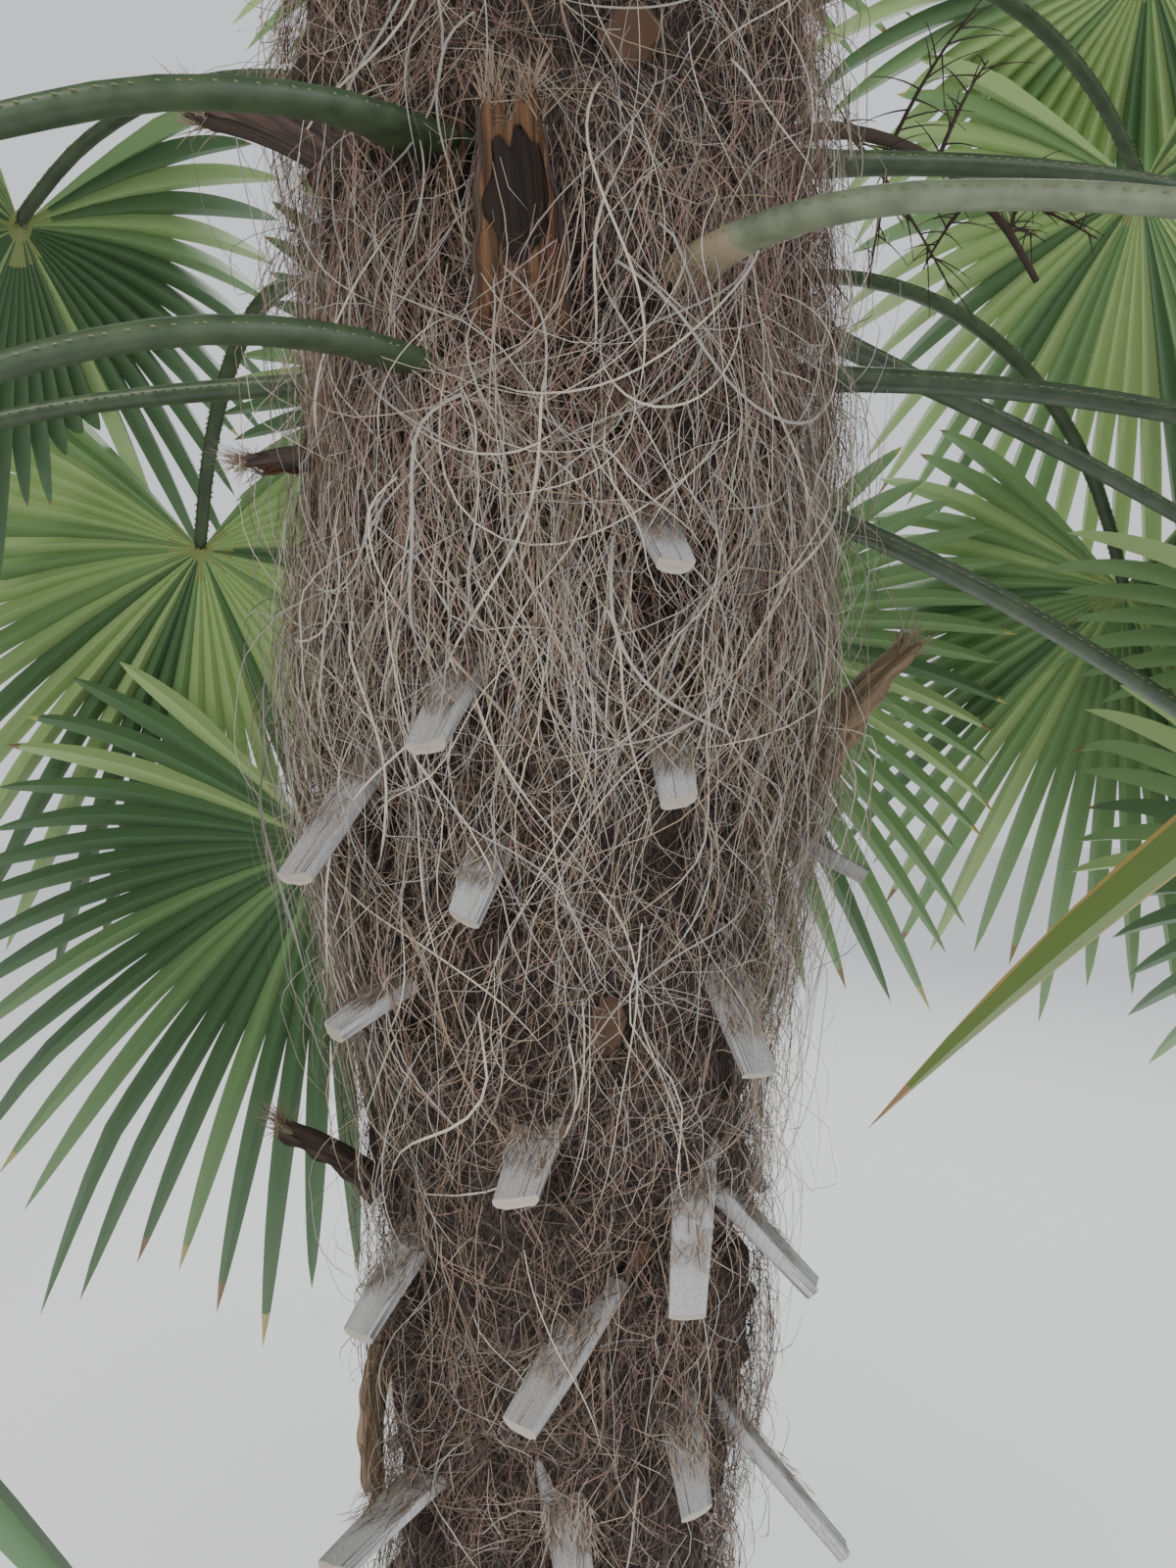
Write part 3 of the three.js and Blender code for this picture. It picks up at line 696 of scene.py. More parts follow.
def wool(row):
    """Short hair along the upper face of a stub, thinning out from its root."""
    own = stub_seat(row)
    count = STUB_WOOL
    begin = STUB_SUNK - 0.014 + row.reach * 0.72 * rng.random(count) ** 1.5
    long = lot(SHORT_HAIR, count)
    aside = rng.uniform(-0.54, 0.54, count) * row.width
    slope = rng.normal(0, 0.25, count)
    bend = rng.normal(0, 0.3, count)
    share = np.linspace(0, 1, 5)
    u = np.minimum(begin[:, None] + long[:, None] * share, STUB_SUNK + row.reach * 0.95)
    v = aside[:, None] + long[:, None] * (slope[:, None] * share + bend[:, None] * share ** 2)
    lift = STUB_THICK / 2 + rng.uniform(-0.0002, 0.0016, count)[:, None] + 0.0008 * np.sin(math.pi * share)
    path = own.start + own.along * u[..., None] + own.across * v[..., None] + own.over * lift[..., None]
    across = unit(np.cross(own.over, np.gradient(path, axis=1)))
    return ribbons(path, across, lot(FINE_HAIR, count))


def stub_pieces(rows):
    for k, name in enumerate(("pale", "grey")):
        shape = joined([tube(stub_rings(row)) for row in rows[k::2]])
        piece(f"stubs_{name}", shape, f"stub_{name}")
    strands = [wool(row) for row in rows]
    for k, name in enumerate(WOOL_COLOURS):
        shape = grid(np.concatenate([made[k::len(WOOL_COLOURS)] for made in strands]))
        piece(f"stub_wool_{name}", shape, f"strand_{name}")
    piece("stub_cracks", joined([stub_cracks(row) for row in rows]), "stub_crack")
    piece("stub_cuts", joined([stub_cut(row) for row in rows]), "stub_cut", flat=True)


# Husks

def husk_seat(row):
    along = direction(row.turn + row.yaw, row.lift - HUSK_DROOP / 2)
    bare = HUSK_SUNK + HUSK_COVERED * row.reach
    return seat(row, along, direction(row.turn, 0) * HUSK_SUNK, bare, row.reach + HUSK_SUNK, 0.34)


def husk_sheet(row, share, bow, offset):
    """Points of a husk's curled sheet, from its root at share 0 to its rim at 1."""
    own = husk_seat(row)
    share, bow = np.broadcast_arrays(share, bow)
    along = direction(row.turn + row.yaw, row.lift - HUSK_DROOP * share)
    over = np.cross(along, own.across) * row.hollow
    coarse, fine = HUSK_TORN
    torn = 1 - coarse * np.abs(np.sin(bow * 2.3 + row.foot * 9)) - fine * np.sin(bow * 9 + row.turn)
    reach = share * torn * (row.reach + HUSK_SUNK)
    coarse, fine = HUSK_WRINKLES
    wrinkle = coarse * np.sin(bow * 11 + 4 * share + row.foot * 7) + fine * np.sin(22 * share + 5 * bow)
    half = row.width / 2 * (1 - 0.45 * share ** 2) + offset + wrinkle
    return (
        own.start
        + along * reach[..., None]
        + own.across * (half * np.sin(bow))[..., None]
        + over * (half * (1 - np.cos(bow)) - offset)[..., None]
    )


def husk(row):
    """The closed boat of a husk, the lining of its hollow, a dark sheet of painted shade in the hollow and
    the rim.
    """
    share = shares(HUSK_ROWS)
    bow = np.radians(np.linspace(-HUSK_BOW, HUSK_BOW, HUSK_COLUMNS))
    thin = HUSK_WALL / 2 * (1 - 0.8 * share ** 2)
    outer, inner = husk_sheet(row, share, bow, thin), husk_sheet(row, share, bow, -thin)
    closed = tube(np.concatenate([outer, inner[:, ::-1]], axis=1))
    lining = grid(husk_sheet(row, share, bow, -thin - HUSK_LINING)[None])
    # A sheet of painted shade, oval and just inside the lining
    place = np.linspace(-1, 1, HUSK_SHADE.rows)[:, None]
    oval = (1 - place ** 2) * np.radians(HUSK_SHADE.bow) * np.linspace(-1, 1, HUSK_SHADE.columns)
    middle = HUSK_SHADE.at + HUSK_SHADE.half * place
    shade = grid(husk_sheet(row, middle, oval, -HUSK_WALL / 2 - 2 * HUSK_LINING)[None])
    return closed, lining, shade, husk_sheet(row, 1, bow, 0)


def tuft(rim, way):
    """Short hair that stands along a husk's torn rim."""
    count = HUSK_TUFT
    at = between(rng.uniform(0, len(rim) - 1, count), np.arange(len(rim)), rim)[:, None]
    ways = unit(way + 0.5 * rng.normal(size=(count, 3)))
    bent = unit(ways + 0.7 * rng.normal(size=(count, 3)))[:, None]
    ways = ways[:, None]
    long = lot(SHORT_HAIR, count)[:, None, None]
    share = np.linspace(0, 1, 4)[None, :, None]
    path = at - 0.002 * ways + long * (ways * share + bent * share ** 2 * 0.6)
    across = unit(np.cross(np.gradient(path, axis=1), rng.normal(size=(count, 1, 3))))
    return grid(ribbons(path, across, lot(FINE_HAIR, count)))


def husk_pieces():
    tufts = []
    for number, row in enumerate(HUSKS):
        nodes = [row.name] if row.name != "trunk" else []
        outer, lining, shade, rim = husk(row)
        turn = row.turn + row.yaw
        tones = HUSK_PALE if number in PALE_HUSKS else HUSK_DARK
        grained(f"husk_skin_{number}", HUSK_GRAIN, *tones, turn)
        grained(f"husk_lining_{number}", HUSK_GRAIN, *HUSK_LINED, turn)
        piece(f"husk_outside_{number}", outer, f"husk_skin_{number}", nodes)
        piece(f"husk_inside_{number}", lining, f"husk_lining_{number}")
        # The dark sheet in the hollow is painted shade
        piece(f"husk_shade_{number}", shade, "husk_shade")
        tufts.append(tuft(rim, husk_seat(row).along))
    piece("husk_tufts", joined(tufts), "strand_tan")


def scraps():
    """Curled brown scraps of old leaf bases that lie in the hollows."""
    made = []
    u, v = np.linspace(-1, 1, 9)[:, None], np.linspace(-1, 1, 7)
    for at_turn, at_height, size in HOLLOWS[1 - len(OTHER_HOLLOWS)::3]:
        wide, high = (size * half * rng.uniform(0.6, 1.1) for half in SCRAP_HALF)
        edge = 1 - 0.35 * v ** 2 + 0.15 * np.sin(9 * v + at_height * 40)
        height = at_height + high * u * edge + wide * 0.3 * v
        turn = at_turn + wide * v * (1 - 0.3 * u ** 2) / body_radius(at_height)
        radius = coat_radius(height, turn) - SCRAP_SUNK + 0.004 * v ** 2 + 0.002 * np.sin(7 * v + 5 * u)
        made.append(grid(round_trunk(radius, turn, height)[None]))
    return joined(made)


# Fronds

def frond_rows():
    high = []
    for i in range(HIGH_FRONDS):
        share = i / (HIGH_FRONDS - 1)
        turn = HIGH_TURN + i * GOLDEN_TURN
        rise, fall, stalk = lerp(*HIGH_RISE, share), lerp(*HIGH_FALL, share), lerp(*HIGH_STALK, share)
        high.append(Frond(turn, turn, HIGH_FOOT + i * HIGH_STEP, rise, fall, stalk))
    return LOW_FRONDS + high


def stalk_path(row):
    sunk = STALK_SUNK * math.cos(math.radians(row.rise)) + STALK_BITE
    path = [direction(row.turn, 0) * (body_radius(row.foot) - sunk) + UP * row.foot]
    for i in range(STALK_STEPS):
        share = (i + 0.5) / STALK_STEPS
        swing = smoothstep(share, 0, STALK_SWING)
        way = direction(lerp(row.turn, row.heading, swing), lerp(row.rise, row.fall, share ** STALK_BEND))
        path.append(path[i] + way * row.stalk / STALK_STEPS)
    return np.array(path)


def finer(path, times):
    """A smooth curve through the path's own points."""
    slope = np.gradient(path, axis=0)
    share = np.arange(times)[:, None] / times
    square, cube = share ** 2, share ** 3
    curve = [
        (2 * cube - 3 * square + 1) * path[i]
        + (cube - 2 * square + share) * slope[i]
        + (3 * square - 2 * cube) * path[i + 1]
        + (cube - square) * slope[i + 1]
        for i in range(len(path) - 1)
    ]
    return np.concatenate(curve + [path[-1:]])


def along_path(path):
    ways = unit(np.gradient(path, axis=0))
    across = unit(np.stack([-ways[:, 1], ways[:, 0], np.zeros(len(ways))], axis=-1))
    return ways, across, np.cross(ways, across)


def stem(path, widths, thicks, flare=0.0):
    _, across, over = along_path(path)
    share = np.linspace(0, 1, len(path))
    width = lerp(*widths, np.sqrt(share)) * (1 + flare * np.clip(1 - share / 0.09, 0, 1))
    thick = lerp(*thicks, np.sqrt(share))
    section = np.array(STALK_SECTION)
    u = section[None, :, 0] * width[:, None]
    v = section[None, :, 1] * thick[:, None]
    return path[:, None] + across[:, None] * u[..., None] - over[:, None] * v[..., None]


def teeth(path):
    """Small spines along both margins of a stalk."""
    lengths = np.concatenate([[0], np.cumsum(np.linalg.norm(np.diff(path, axis=0), axis=1))])
    first, last = TOOTH_FREE
    places = np.arange(first, lengths[-1] - last, TOOTH_STEP)
    places = places + rng.uniform(-0.3, 0.3, len(places)) * TOOTH_STEP
    centre = between(places, lengths, path)
    way, side, up = (unit(between(places, lengths, rows)) for rows in along_path(path))
    width = np.interp(places, lengths, lerp(*STALK_WIDTH, np.sqrt(np.linspace(0, 1, len(path)))))
    points = []
    for sign in (-1, 1):
        root = centre + side * (sign * width * 0.49)[:, None]
        long = TOOTH_LONG * rng.uniform(0.6, 1.2, len(places))[:, None]
        tip = root + side * sign * long + way * long * 0.6
        half = way * TOOTH_ROOT / 2
        points.append(np.stack([root - half, root + half, root + up * TOOTH_ROOT / 3, tip], axis=1))
    points = np.concatenate(points)
    start = np.arange(len(points))[:, None, None] * 4
    faces = start + np.array([[0, 1, 3], [1, 2, 3], [2, 0, 3]])
    return points.reshape(-1, 3), faces.reshape(-1, 3)


def blade_of(row, path):
    stand_up = smoothstep(row.fall, -60, 60)
    pitch = row.fall - lerp(*BLADE_FOLD, stand_up)
    axis = direction(row.heading, pitch)
    twist = math.radians(row.twist)
    side = turned(direction(row.heading + 90, 0), axis, twist)
    normal = unit(np.cross(axis, side))
    lean = (BLADE_THICK * math.cos(twist) + STALK_THICK[1] * abs(math.sin(twist))) / 2
    clear = SEAT_GAP + lean * math.sin(math.radians(row.fall - pitch))
    return Blade(path[-1] + axis * (BACK_LONG + clear), axis, side, normal)


def blade_point(blade, reach, angle, offset):
    reach, angle = np.broadcast_arrays(reach, angle)
    along = blade.axis * np.cos(angle)[..., None] + blade.side * np.sin(angle)[..., None]
    level = np.hypot(along[..., 0], along[..., 1])
    lifted = reach * CUP * np.sin(angle / 2) ** 2 + offset
    point = blade.hub + along * reach[..., None] + blade.normal * lifted[..., None]
    point[..., 2] -= DROOP * level * (reach / BLADE_REACH) ** DROOP_POWER
    return point


def fan_angle(share):
    return np.radians(lerp(-BLADE_SPREAD, BLADE_SPREAD, share))


def leaflet_reach(i, count, seed):
    angle = fan_angle((i + 0.5) / count)
    side = 1 - SIDE_SHORTER * (1 - np.cos(0.55 * angle))
    place = (i + 0.5) * CAD_LEAFLETS / count - 0.5
    return BLADE_REACH * side * (1 + UNEVEN * np.sin(place * 2.4 + seed))


def kept_share(blade, node, seed):
    """The share of its length that each leaflet keeps, read off the tips of the CAD blade."""
    corners = np.array([vertex.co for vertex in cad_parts[node].data.vertices])
    i = np.arange(CAD_LEAFLETS)
    angle = fan_angle((i + 0.5) / CAD_LEAFLETS)
    full = leaflet_reach(i, CAD_LEAFLETS, seed)
    stump = np.full(CAD_LEAFLETS, BLADE_REACH * STUMP)
    tries = np.stack([*(full * share for share in SHORTER), stump], axis=1)
    tips = blade_point(blade, tries, angle[:, None], 0)
    gaps = np.linalg.norm(tips[:, :, None] - corners, axis=-1).min(axis=2)
    kept = tries[i, gaps.argmin(axis=1)]
    return kept / full


def two_strips(*lines):
    """A strip from the first line to the second and one from the third to the fourth, for each leaflet."""
    return np.stack([np.stack(lines[:2], axis=2), np.stack(lines[2:], axis=2)], axis=1)


def leaflets(blade, number):
    """The two halves of each leaflet as strips, of shape (leaflets, 2, rows, 2, 3)."""
    i = np.arange(LEAFLETS)
    seed = number - 1
    share = kept_share(blade, f"fan_{number:02d}", seed)[((i + 0.5) * CAD_LEAFLETS / LEAFLETS).astype(int)]
    reach = leaflet_reach(i, LEAFLETS, seed) * share * rng.uniform(0.94, 1.0, LEAFLETS)
    edges = fan_angle(np.arange(LEAFLETS + 1) / LEAFLETS)
    middle = (edges[:-1] + edges[1:]) / 2
    split = BLADE_REACH * SPLIT_AT
    free = np.array(FREE_ROWS)
    inner = np.broadcast_to(BLADE_REACH * np.array(JOINED_ROWS), (LEAFLETS, len(JOINED_ROWS)))
    outer = split + free * (reach[:, None] - split)
    rows = np.concatenate([inner, outer], axis=1)
    taper = NEAR_TAPER if number == NEAR_FROND else LEAFLET_TAPER
    fill = np.concatenate([np.ones(len(JOINED_ROWS)), (1 - free) ** taper])
    half = (edges[1] - edges[0]) / 2 * fill
    pleat = PLEAT * rows * half * 2
    low = blade_point(blade, rows, middle[:, None] - half, pleat)
    high = blade_point(blade, rows, middle[:, None] + half, pleat)
    rib = blade_point(blade, rows, middle[:, None], -pleat)
    out = np.clip((rows - split) / (BLADE_REACH - split), 0, 1)
    broken = np.where(rng.random(LEAFLETS) < BROKEN, rng.uniform(*BROKEN_DROP, LEAFLETS), 0)[:, None]
    beyond = np.clip((out - BROKEN_FROM) / (1 - BROKEN_FROM), 0, 1)
    sag = rng.uniform(0, SAG, LEAFLETS)[:, None] * out ** 2 + broken * beyond ** 1.4
    for strip in (low, high, rib):
        strip[..., 2] -= sag
    return two_strips(low, rib, rib, high)


def knob(blade):
    """The low boss on a blade where the stalk runs into it."""
    angle = circle(10)[:, None]
    round_hub = blade.axis * np.cos(angle) + blade.side * np.sin(angle)
    rings = [blade.hub + radius * round_hub + blade.normal * lift for radius, lift in KNOB_RINGS]
    return tube(np.stack(rings))


def without_margins(halves):
    """The leaflets' halves less their margins, and the margins from where the leaflets part."""
    low, rib, high = halves[:, 0, :, 0], halves[:, 0, :, 1], halves[:, 1, :, 1]
    row = np.arange(halves.shape[2])
    share = MARGIN * (1 + 0.6 * np.sin(9 * row)) * (row >= len(JOINED_ROWS))
    low_in, high_in = lerp(low, rib, share[:, None]), lerp(high, rib, share[:, None])
    margins = two_strips(low, low_in, high_in, high)
    return two_strips(low_in, rib, rib, high_in), margins[:, :, len(JOINED_ROWS) - 1:]


def strips(halves, first=None, last=None):
    """Each half's rows from first to before last as a mesh."""
    part = halves[:, :, first:last]
    return grid(part.reshape(-1, *part.shape[2:]))


def leaflet_pieces(halves, tones):
    tips = rng.choice(TIPS, len(halves), p=TIP_ODDS)
    worn = tones == NEAR_TONE
    tips[worn] = "brown"
    long_root = rng.random(len(halves)) < LONG_ROOTS
    halves[worn], margins = without_margins(halves[worn])
    pale = joined([
        strips(halves[~long_root], 0, ROOT_ROWS),
        strips(halves[long_root], 0, ROOT_ROWS + 1),
    ])
    piece("leaflet_roots", pale, "leaf_root")
    piece("leaflet_margins", strips(margins), "leaf_margin")
    fans = [f"fan_{number + 1:02d}" for number in range(len(halves) // LEAFLETS)]
    for name in (*USUAL_TONES, NEAR_TONE):
        own = tones == name
        shape = joined([
            strips(halves[own & ~long_root], ROOT_ROWS - 1, ROOT_ROWS + 1),
            strips(halves[own], ROOT_ROWS, -1),
            strips(halves[own & (tips == "own")], -2),
        ])
        piece(f"leaflets_{name}", shape, f"leaf_{name}", fans)
    for name in ("yellow", "brown"):
        piece(f"leaflet_tips_{name}", strips(halves[tips == name], -2), f"leaf_{name}")


def crown():
    stalks = {"dark": [], "pale": []}
    spines, halves, tones = [], [], []
    for number, row in enumerate(frond_rows(), 1):
        near = number == NEAR_FROND
        path = stalk_path(row)
        blade = blade_of(row, path)
        path = finer(np.concatenate([path, blade.hub[None]]), STALK_FINER)
        rings = stem(path, STALK_WIDTH, STALK_THICK, STALK_FLARE)
        if near:
            root = tube(rings[:STALK_ROOT_ROWS + 1])
            rings = rings[STALK_ROOT_ROWS:]
        shape = joined([tube(rings), knob(blade)])
        stalks["pale" if near else "dark"].append((f"stalk_{number:02d}", shape))
        spines.append(teeth(path))
        halves.append(leaflets(blade, number))
        tone = FAN_TONES[number] if number in FAN_TONES else rng.choice(USUAL_TONES, p=FAN_ODDS)
        varied = rng.choice(USUAL_TONES, LEAFLETS, p=LEAFLET_ODDS)
        tones.append(np.where(rng.random(LEAFLETS) < (1 if near else SAME_TONE), tone, varied))
    for kind, made in stalks.items():
        nodes, shapes = zip(*made)
        piece(f"stalks_{kind}", joined(shapes), f"stalk_{kind}", nodes)
    piece("stalk_roots", root, "stalk_root")
    piece("stalk_teeth", joined(spines), "teeth")
    leaflet_pieces(np.concatenate(halves), np.concatenate(tones))


def spear_blade(row):
    start = UP * (TRUNK_TOP + SEAT_GAP) + direction(row.turn, 0) * row.width * 0.3
    way = direction(row.turn, 90 - row.lean)
    share = shares(SPEAR_ROWS)
    around = circle(2 * SPEAR_PLEATS)
    pleated = np.tile([1.0, SPEAR_PLEAT], SPEAR_PLEATS)
    radius = row.width / 2 * np.interp(share, SPEAR_SHARES, SPEAR_WIDTHS) * pleated
    centre = start + way * (share * row.reach)[..., None]
    return tube(centre + round_trunk(1, around, 0) * radius[..., None])


def along_twig(start, way, reach, share):
    return start + way * reach * share - UP * TWIG_SAG * reach * share ** 2


def twig(start, way, reach, width):
    across = unit(np.array([-way[1], way[0], 0]))
    over = np.cross(way, across)
    share = shares(7)
    radius = width / 2 * lerp(1, 0.35, share)
    around = circle(3)
    ring = across * np.cos(around)[..., None] + over * np.sin(around)[..., None]
    centre = along_twig(start, way, reach, share)
    return tube(centre[:, None] + ring * radius[..., None])


def flower_stalk():
    path = stalk_path(FLOWER)
    shapes = [tube(stem(finer(path, 2), FLOWER_WIDTH, FLOWER_WIDTH))]
    for i in range(TWIGS):
        start = path[TWIG_FROM + (i * (STALK_STEPS - TWIG_FROM)) // TWIGS]
        way = direction(FLOWER.heading + 70 * math.sin(i * 2.4), 20 - 50 * math.cos(i * 1.9))
        reach = TWIG_REACH * lerp(1, 0.6, i / TWIGS)
        shapes.append(twig(start, way, reach, TWIG_WIDTH))
        for k in range(SIDE_TWIGS):
            at = along_twig(start, way, reach, (k + 1) / (SIDE_TWIGS + 1))
            aside = unit(way + 0.9 * rng.normal(size=3))
            shapes.append(twig(at, aside, reach * rng.uniform(*SIDE_REACH), TWIG_WIDTH * SIDE_WIDTH))
    return joined(shapes)


# Fibre

def bed(height, turn, share):
    return coat_radius(height, turn) + share * relief(height, turn)


def hang(
    kind, turn, height, off, lean=0, curl=0, curls=1, wave=1, phase=0, longer=1, slack=0, wider=1, bedded=0.0,
):
    """Strands that start on the coat and hang round it, bedded by a share of its relief.

    Lean, curl, phase and slack add to what is drawn for the kind, and the rest multiplies it."""
    count = len(height)
    length = lot(kind.length, count) * longer
    lean = np.radians(lean + lot(kind.lean, count))
    curl = curl + lot(kind.curl, count) * curls
    waver = np.radians(lot(kind.waver, count))
    wave = wave * lot(kind.wave, count)
    phase = phase + lot(kind.phase, count)
    lift = np.radians(lot(kind.lift, count))
    ceiling = off + (slack + lot(kind.slack, count) * wider)
    radius = bed(height, turn, bedded) + off
    places = [round_trunk(radius, turn, height)]
    step = length / kind.steps
    for k in range(kind.steps):
        share = (k + 0.5) / kind.steps
        way = lean * (1 - kind.settle * share) + curl * length * share
        way = way + waver * np.sin(phase + ROUND * length * share / wave)
        out = lift * (1 - 1.7 * share)
        height = height - np.cos(way) * np.cos(out) * step
        turn = turn + np.sin(way) * np.cos(out) * step / np.maximum(radius, 0.05)
        ground = bed(height, turn, bedded)
        radius = np.clip(radius + np.sin(out) * step, ground + off, ground + ceiling)
        places.append(round_trunk(radius, turn, height))
    path = np.stack(places, axis=1)
    ways = unit(np.gradient(path, axis=1))
    across = unit(np.cross(unit(path * [1, 1, 0]), ways))
    roll = lot(kind.roll, count)[:, None]
    if kind.twirl:
        roll = roll + lot(kind.twirl, count)[:, None] * np.linspace(0, 1, kind.steps + 1)
    across = across * np.cos(roll)[..., None] + np.cross(ways, across) * np.sin(roll)[..., None]
    return path, across


def widths(kind, count):
    low, high, power = kind.width
    return lerp(low, high, rng.random(count) ** power)


def ribbons(path, across, width):
    """Flat strips, with one width a strand."""
    taper = np.minimum(1, 0.15 + 4 * np.linspace(1, 0, path.shape[1]))
    half = across * (width[:, None] * taper / 2)[..., None]
    return np.stack([path - half, path + half], axis=2)


def clear_of(path, seats, keep):
    """False for most strands that cross the face of a stub or husk."""
    crossing = np.zeros(len(path), bool)
    for own in seats:
        rel = path - own.start
        u, v, w = rel @ own.along, rel @ own.across, rel @ own.over
        inside = (u > own.low) & (u < own.high) & (np.abs(v) < own.half) & (np.abs(w) < 0.045)
        crossing |= inside.any(axis=1)
    return ~crossing | (rng.random(len(path)) < keep)


def loose(height):
    """How long-haired the coat is, from 0 at the foot to 1 under the crown."""
    return smoothstep(height, 0.95, 1.35)


def dealt(weights):
    """One colour name a strand, from arrays of weights by name."""
    table = np.cumsum(np.stack(list(weights.values()), axis=1), axis=1)
    beyond = (rng.random(len(table)) * table[:, -1])[:, None] > table
    return np.array(list(weights))[beyond.sum(axis=1)]


def combed(height, turn):
    """How far long and matted hair is combed aside, in degrees."""
    return 36 * ripple(height, turn, 0.06, 5)


def patches(height, turn, scale, seed):
    """A weight about 1 that is more in some patches of the coat and less in others."""
    return np.exp(0.8 * ripple(height, turn, scale, seed))


def over_hollow(points):
    return relief(points[:, 2], np.arctan2(points[:, 1], points[:, 0])) < -0.007


def mat():
    """Short fine hair in every direction, painted darker the deeper it lies, as shade within the mat."""
    count = MAT.count
    turn, height = lot(ANY, count), lot((0.03, 2.19), count)
    low_side, crown_side = 1 - smoothstep(height, 1.0, 1.35), smoothstep(height, 1.42, 1.62)
    level = rng.random(count) < lerp(*MAT_LEVEL, 1 - low_side)
    side = np.where(rng.random(count) < 0.5, -1, 1)
    lean = np.where(level, side * lot(LEVEL_LEAN, count), lot(19, count))
    deep = rng.random(count)
    path, across = hang(
        MAT, turn, height, lerp(*MAT.off, deep), lean=combed(height, turn) + lean,
        curls=lerp(*MAT_CURLS, crown_side), slack=0.006, bedded=1.0,
    )
    fit = ~over_hollow(path[:, 2]) | (rng.random(count) < MAT_IN_HOLLOWS)
    pale, ruddy = patches(height, turn, 0.06, 7), patches(height, turn, 0.09, 4)
    # Painted shade: the deeper a hair lies, the more it is dealt the dark colour and the less tan and grey
    weights = {
        "dark": (0.10 + 0.55 * deep * lerp(1, 0.5, crown_side) + 0.34 * low_side) / pale,
        "brown": 0.42 + 0.35 * low_side,
        "red": (0.10 + 0.60 * crown_side) * ruddy,
        "tan": (0.40 - 0.24 * low_side) * (1.1 - deep) * pale,
        "grey": (0.22 - 0.14 * low_side - 0.10 * crown_side) * (1.1 - deep) * pale / ruddy,
    }
    width = widths(MAT, count) * lerp(1, 0.8, crown_side)
    return path, ribbons(path, across, width), dealt(weights), fit


def locks():
    """Locks of long hair that come out sideways, then hang down and part over one another."""
    count = LOCKS
    high_ones = rng.random(count) < 0.55
    anywhere = lerp(0.14, 2.17, rng.random(count) ** 0.8)
    height = np.where(high_ones, rng.normal(1.55, 0.13, count), anywhere)
    turn, phase = lot(ANY, count), lot(ANY, count)
    crowned = lerp(1, 2.4, smoothstep(height, 1.5, 1.7))
    lean, curl, wave = lot(17, count), lot(2.4, count) * crowned, lot((0.09, 0.26), count)
    lean = lean + 0.6 * combed(height, turn)
    spread, tone = lot((3, 13), count), np.exp(lot(0.9, count))
    own = np.repeat(np.arange(count), LOCK.count)
    total = len(own)
    aside = rng.normal(0, 1, total)
    height = np.clip(height[own] + rng.normal(0, 0.022, total), 0.1, 2.18)
    long_haired = loose(height)
    off = lot(LOCK.off, total)
    path, across = hang(
        LOCK, turn[own] + np.radians(spread[own] * aside), height, off, lean=lean[own] + 8 * aside,
        curl=curl[own], wave=wave[own], phase=phase[own], longer=lerp(0.6, 1.15, long_haired),
        wider=lerp(0.5, 1, long_haired), bedded=0.45,
    )
    hollow = over_hollow(path[:, 3]) | over_hollow(path[:, 6])
    crown_side = smoothstep(height, 1.5, 1.68)
    width = widths(LOCK, total) * lerp(1, 0.8, crown_side)
    long_haired = long_haired * (1 - crown_side)
    weights = {
        "straw": (0.01 + 0.30 * long_haired + 0.06 * crown_side) * tone[own],
        "grey": 0.08 + 0.24 * long_haired + 0.02 * crown_side,
        "tan": 0.16 + 0.14 * long_haired,
        "brown": (0.80 - 0.64 * long_haired - 0.6 * crown_side) / tone[own],
        "red": (0.03 + 0.60 * crown_side) / tone[own],
    }
    colour = dealt(weights)
    fit = ~hollow | (rng.random(total) < LOCKS_IN_HOLLOWS)
    return path, ribbons(path, across, width), colour, fit


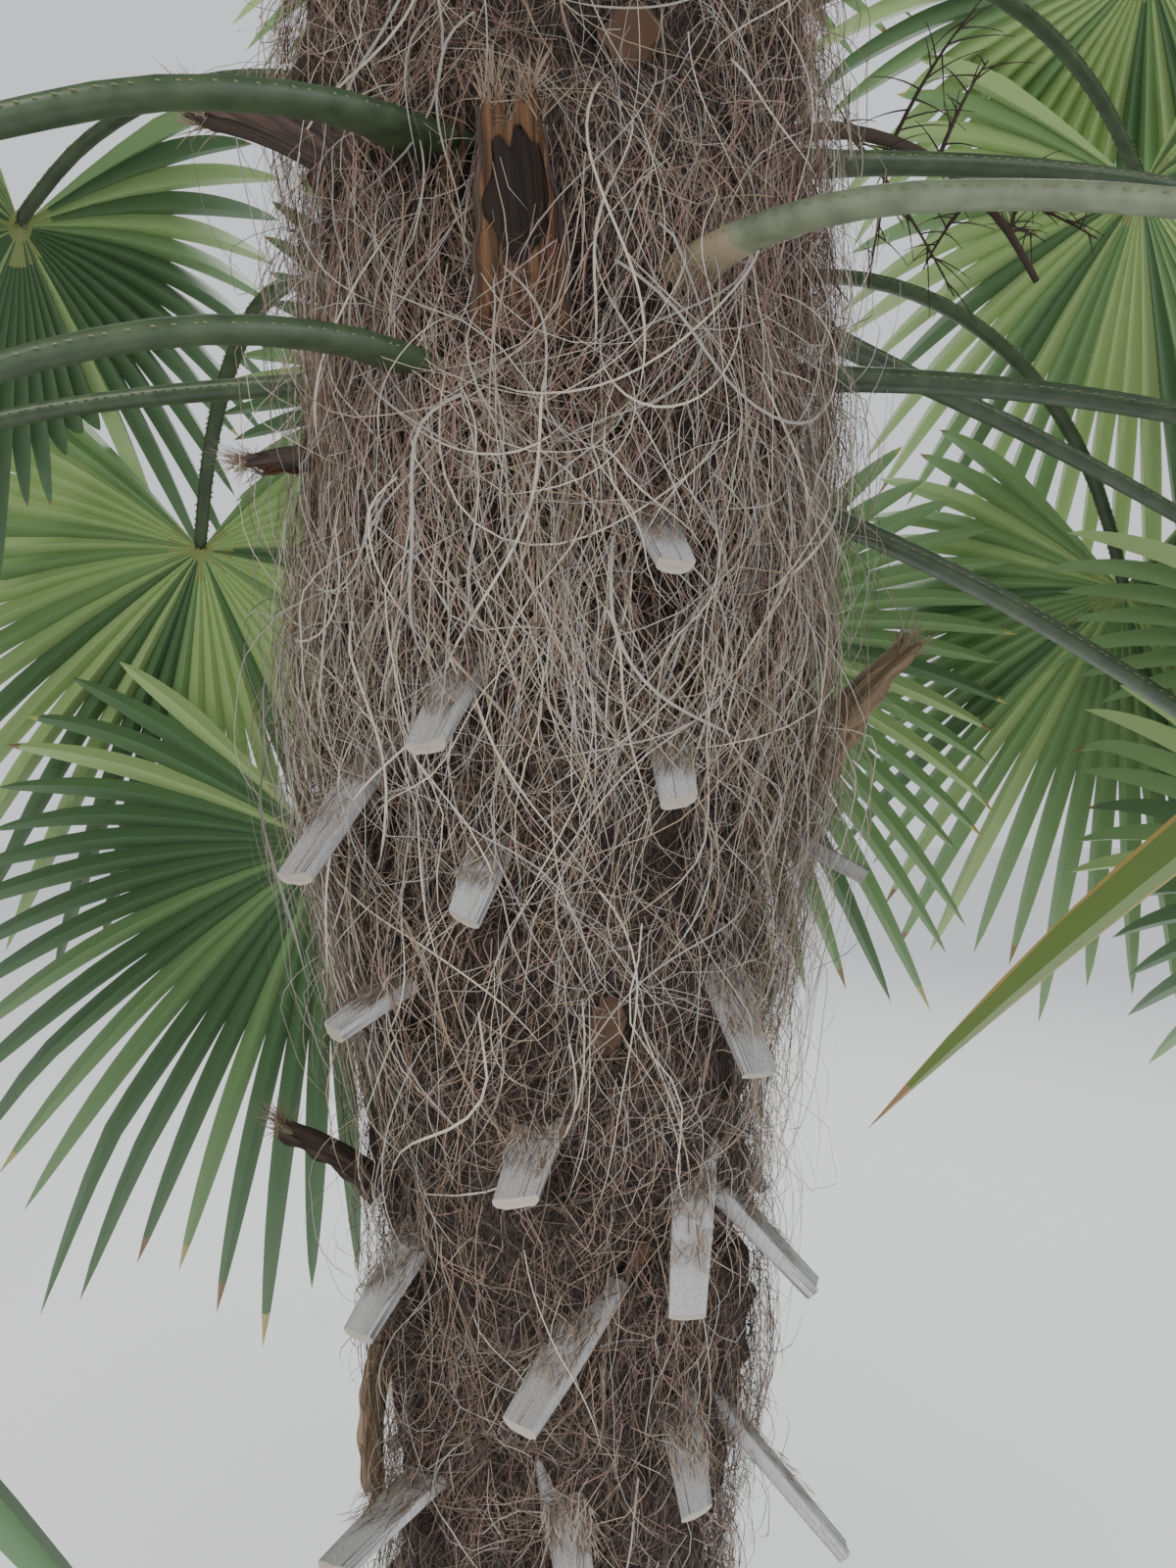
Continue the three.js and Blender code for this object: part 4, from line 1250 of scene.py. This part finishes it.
def free_hair(kind, height, weights, longer=1, wider=1):
    """Hair that hangs free from these heights."""
    count = kind.count
    off = lot(kind.off, count)
    path, across = hang(kind, lot(ANY, count), height, off, longer=longer, wider=wider)
    width = widths(kind, count)
    colour = dealt({name: np.broadcast_to(weight, count) for name, weight in weights.items()})
    return path, ribbons(path, across, width), colour, np.ones(count, bool)


def straps():
    """Long pale strips that hang loose."""
    height = np.clip(rng.normal(1.60, 0.18, STRAP.count), 1.2, 2.12)
    return free_hair(STRAP, height, {"straw": 0.6, "grey": 0.4})


def fuzz():
    """Fine hair that stands off the coat and softens its outline."""
    height = lot((0.05, 2.15), FUZZ.count)
    low_side = 1 - smoothstep(height, 1.0, 1.3)
    weights = {"grey": 0.4 - 0.25 * low_side, "tan": 0.35 - 0.15 * low_side, "brown": 0.25 + 0.6 * low_side}
    return free_hair(FUZZ, height, weights, lerp(0.7, 1.2, loose(height)), lerp(0.75, 1, loose(height)))


def flyaways():
    """Long thin hair that bows out from the coat."""
    height = np.clip(rng.normal(1.52, 0.25, FLYAWAY.count), 0.3, 2.12)
    return free_hair(FLYAWAY, height, {"straw": 0.2, "grey": 0.4, "tan": 0.4})


def fibre(seats):
    groups = {"mat": mat(), "lock": locks(), "strap": straps(), "fuzz": fuzz(), "flyaway": flyaways()}
    for group, (path, hairs, colour, fit) in groups.items():
        fit = fit & clear_of(path, seats, KEPT[group]) & (path[..., 2].min(axis=1) > 0.002)
        for kind in np.unique(colour):
            piece(f"{group}_{kind}", grid(hairs[fit & (colour == kind)]), f"strand_{kind}")


def build():
    camera()
    studio()
    all_looks()
    stubs = stub_rows()
    piece("coat", coat(), "bark", ["trunk"])
    stub_pieces(stubs)
    husk_pieces()
    piece("scraps", scraps(), "scrap")
    crown()
    spears = joined([spear_blade(row) for row in SPEARS])
    piece("spear_blades", spears, "spear", ["spear"], flat=True)
    piece("flower_twigs", flower_stalk(), "flower", ["flower_stalk"])
    fibre([stub_seat(row) for row in stubs] + [husk_seat(row) for row in HUSKS])


build()
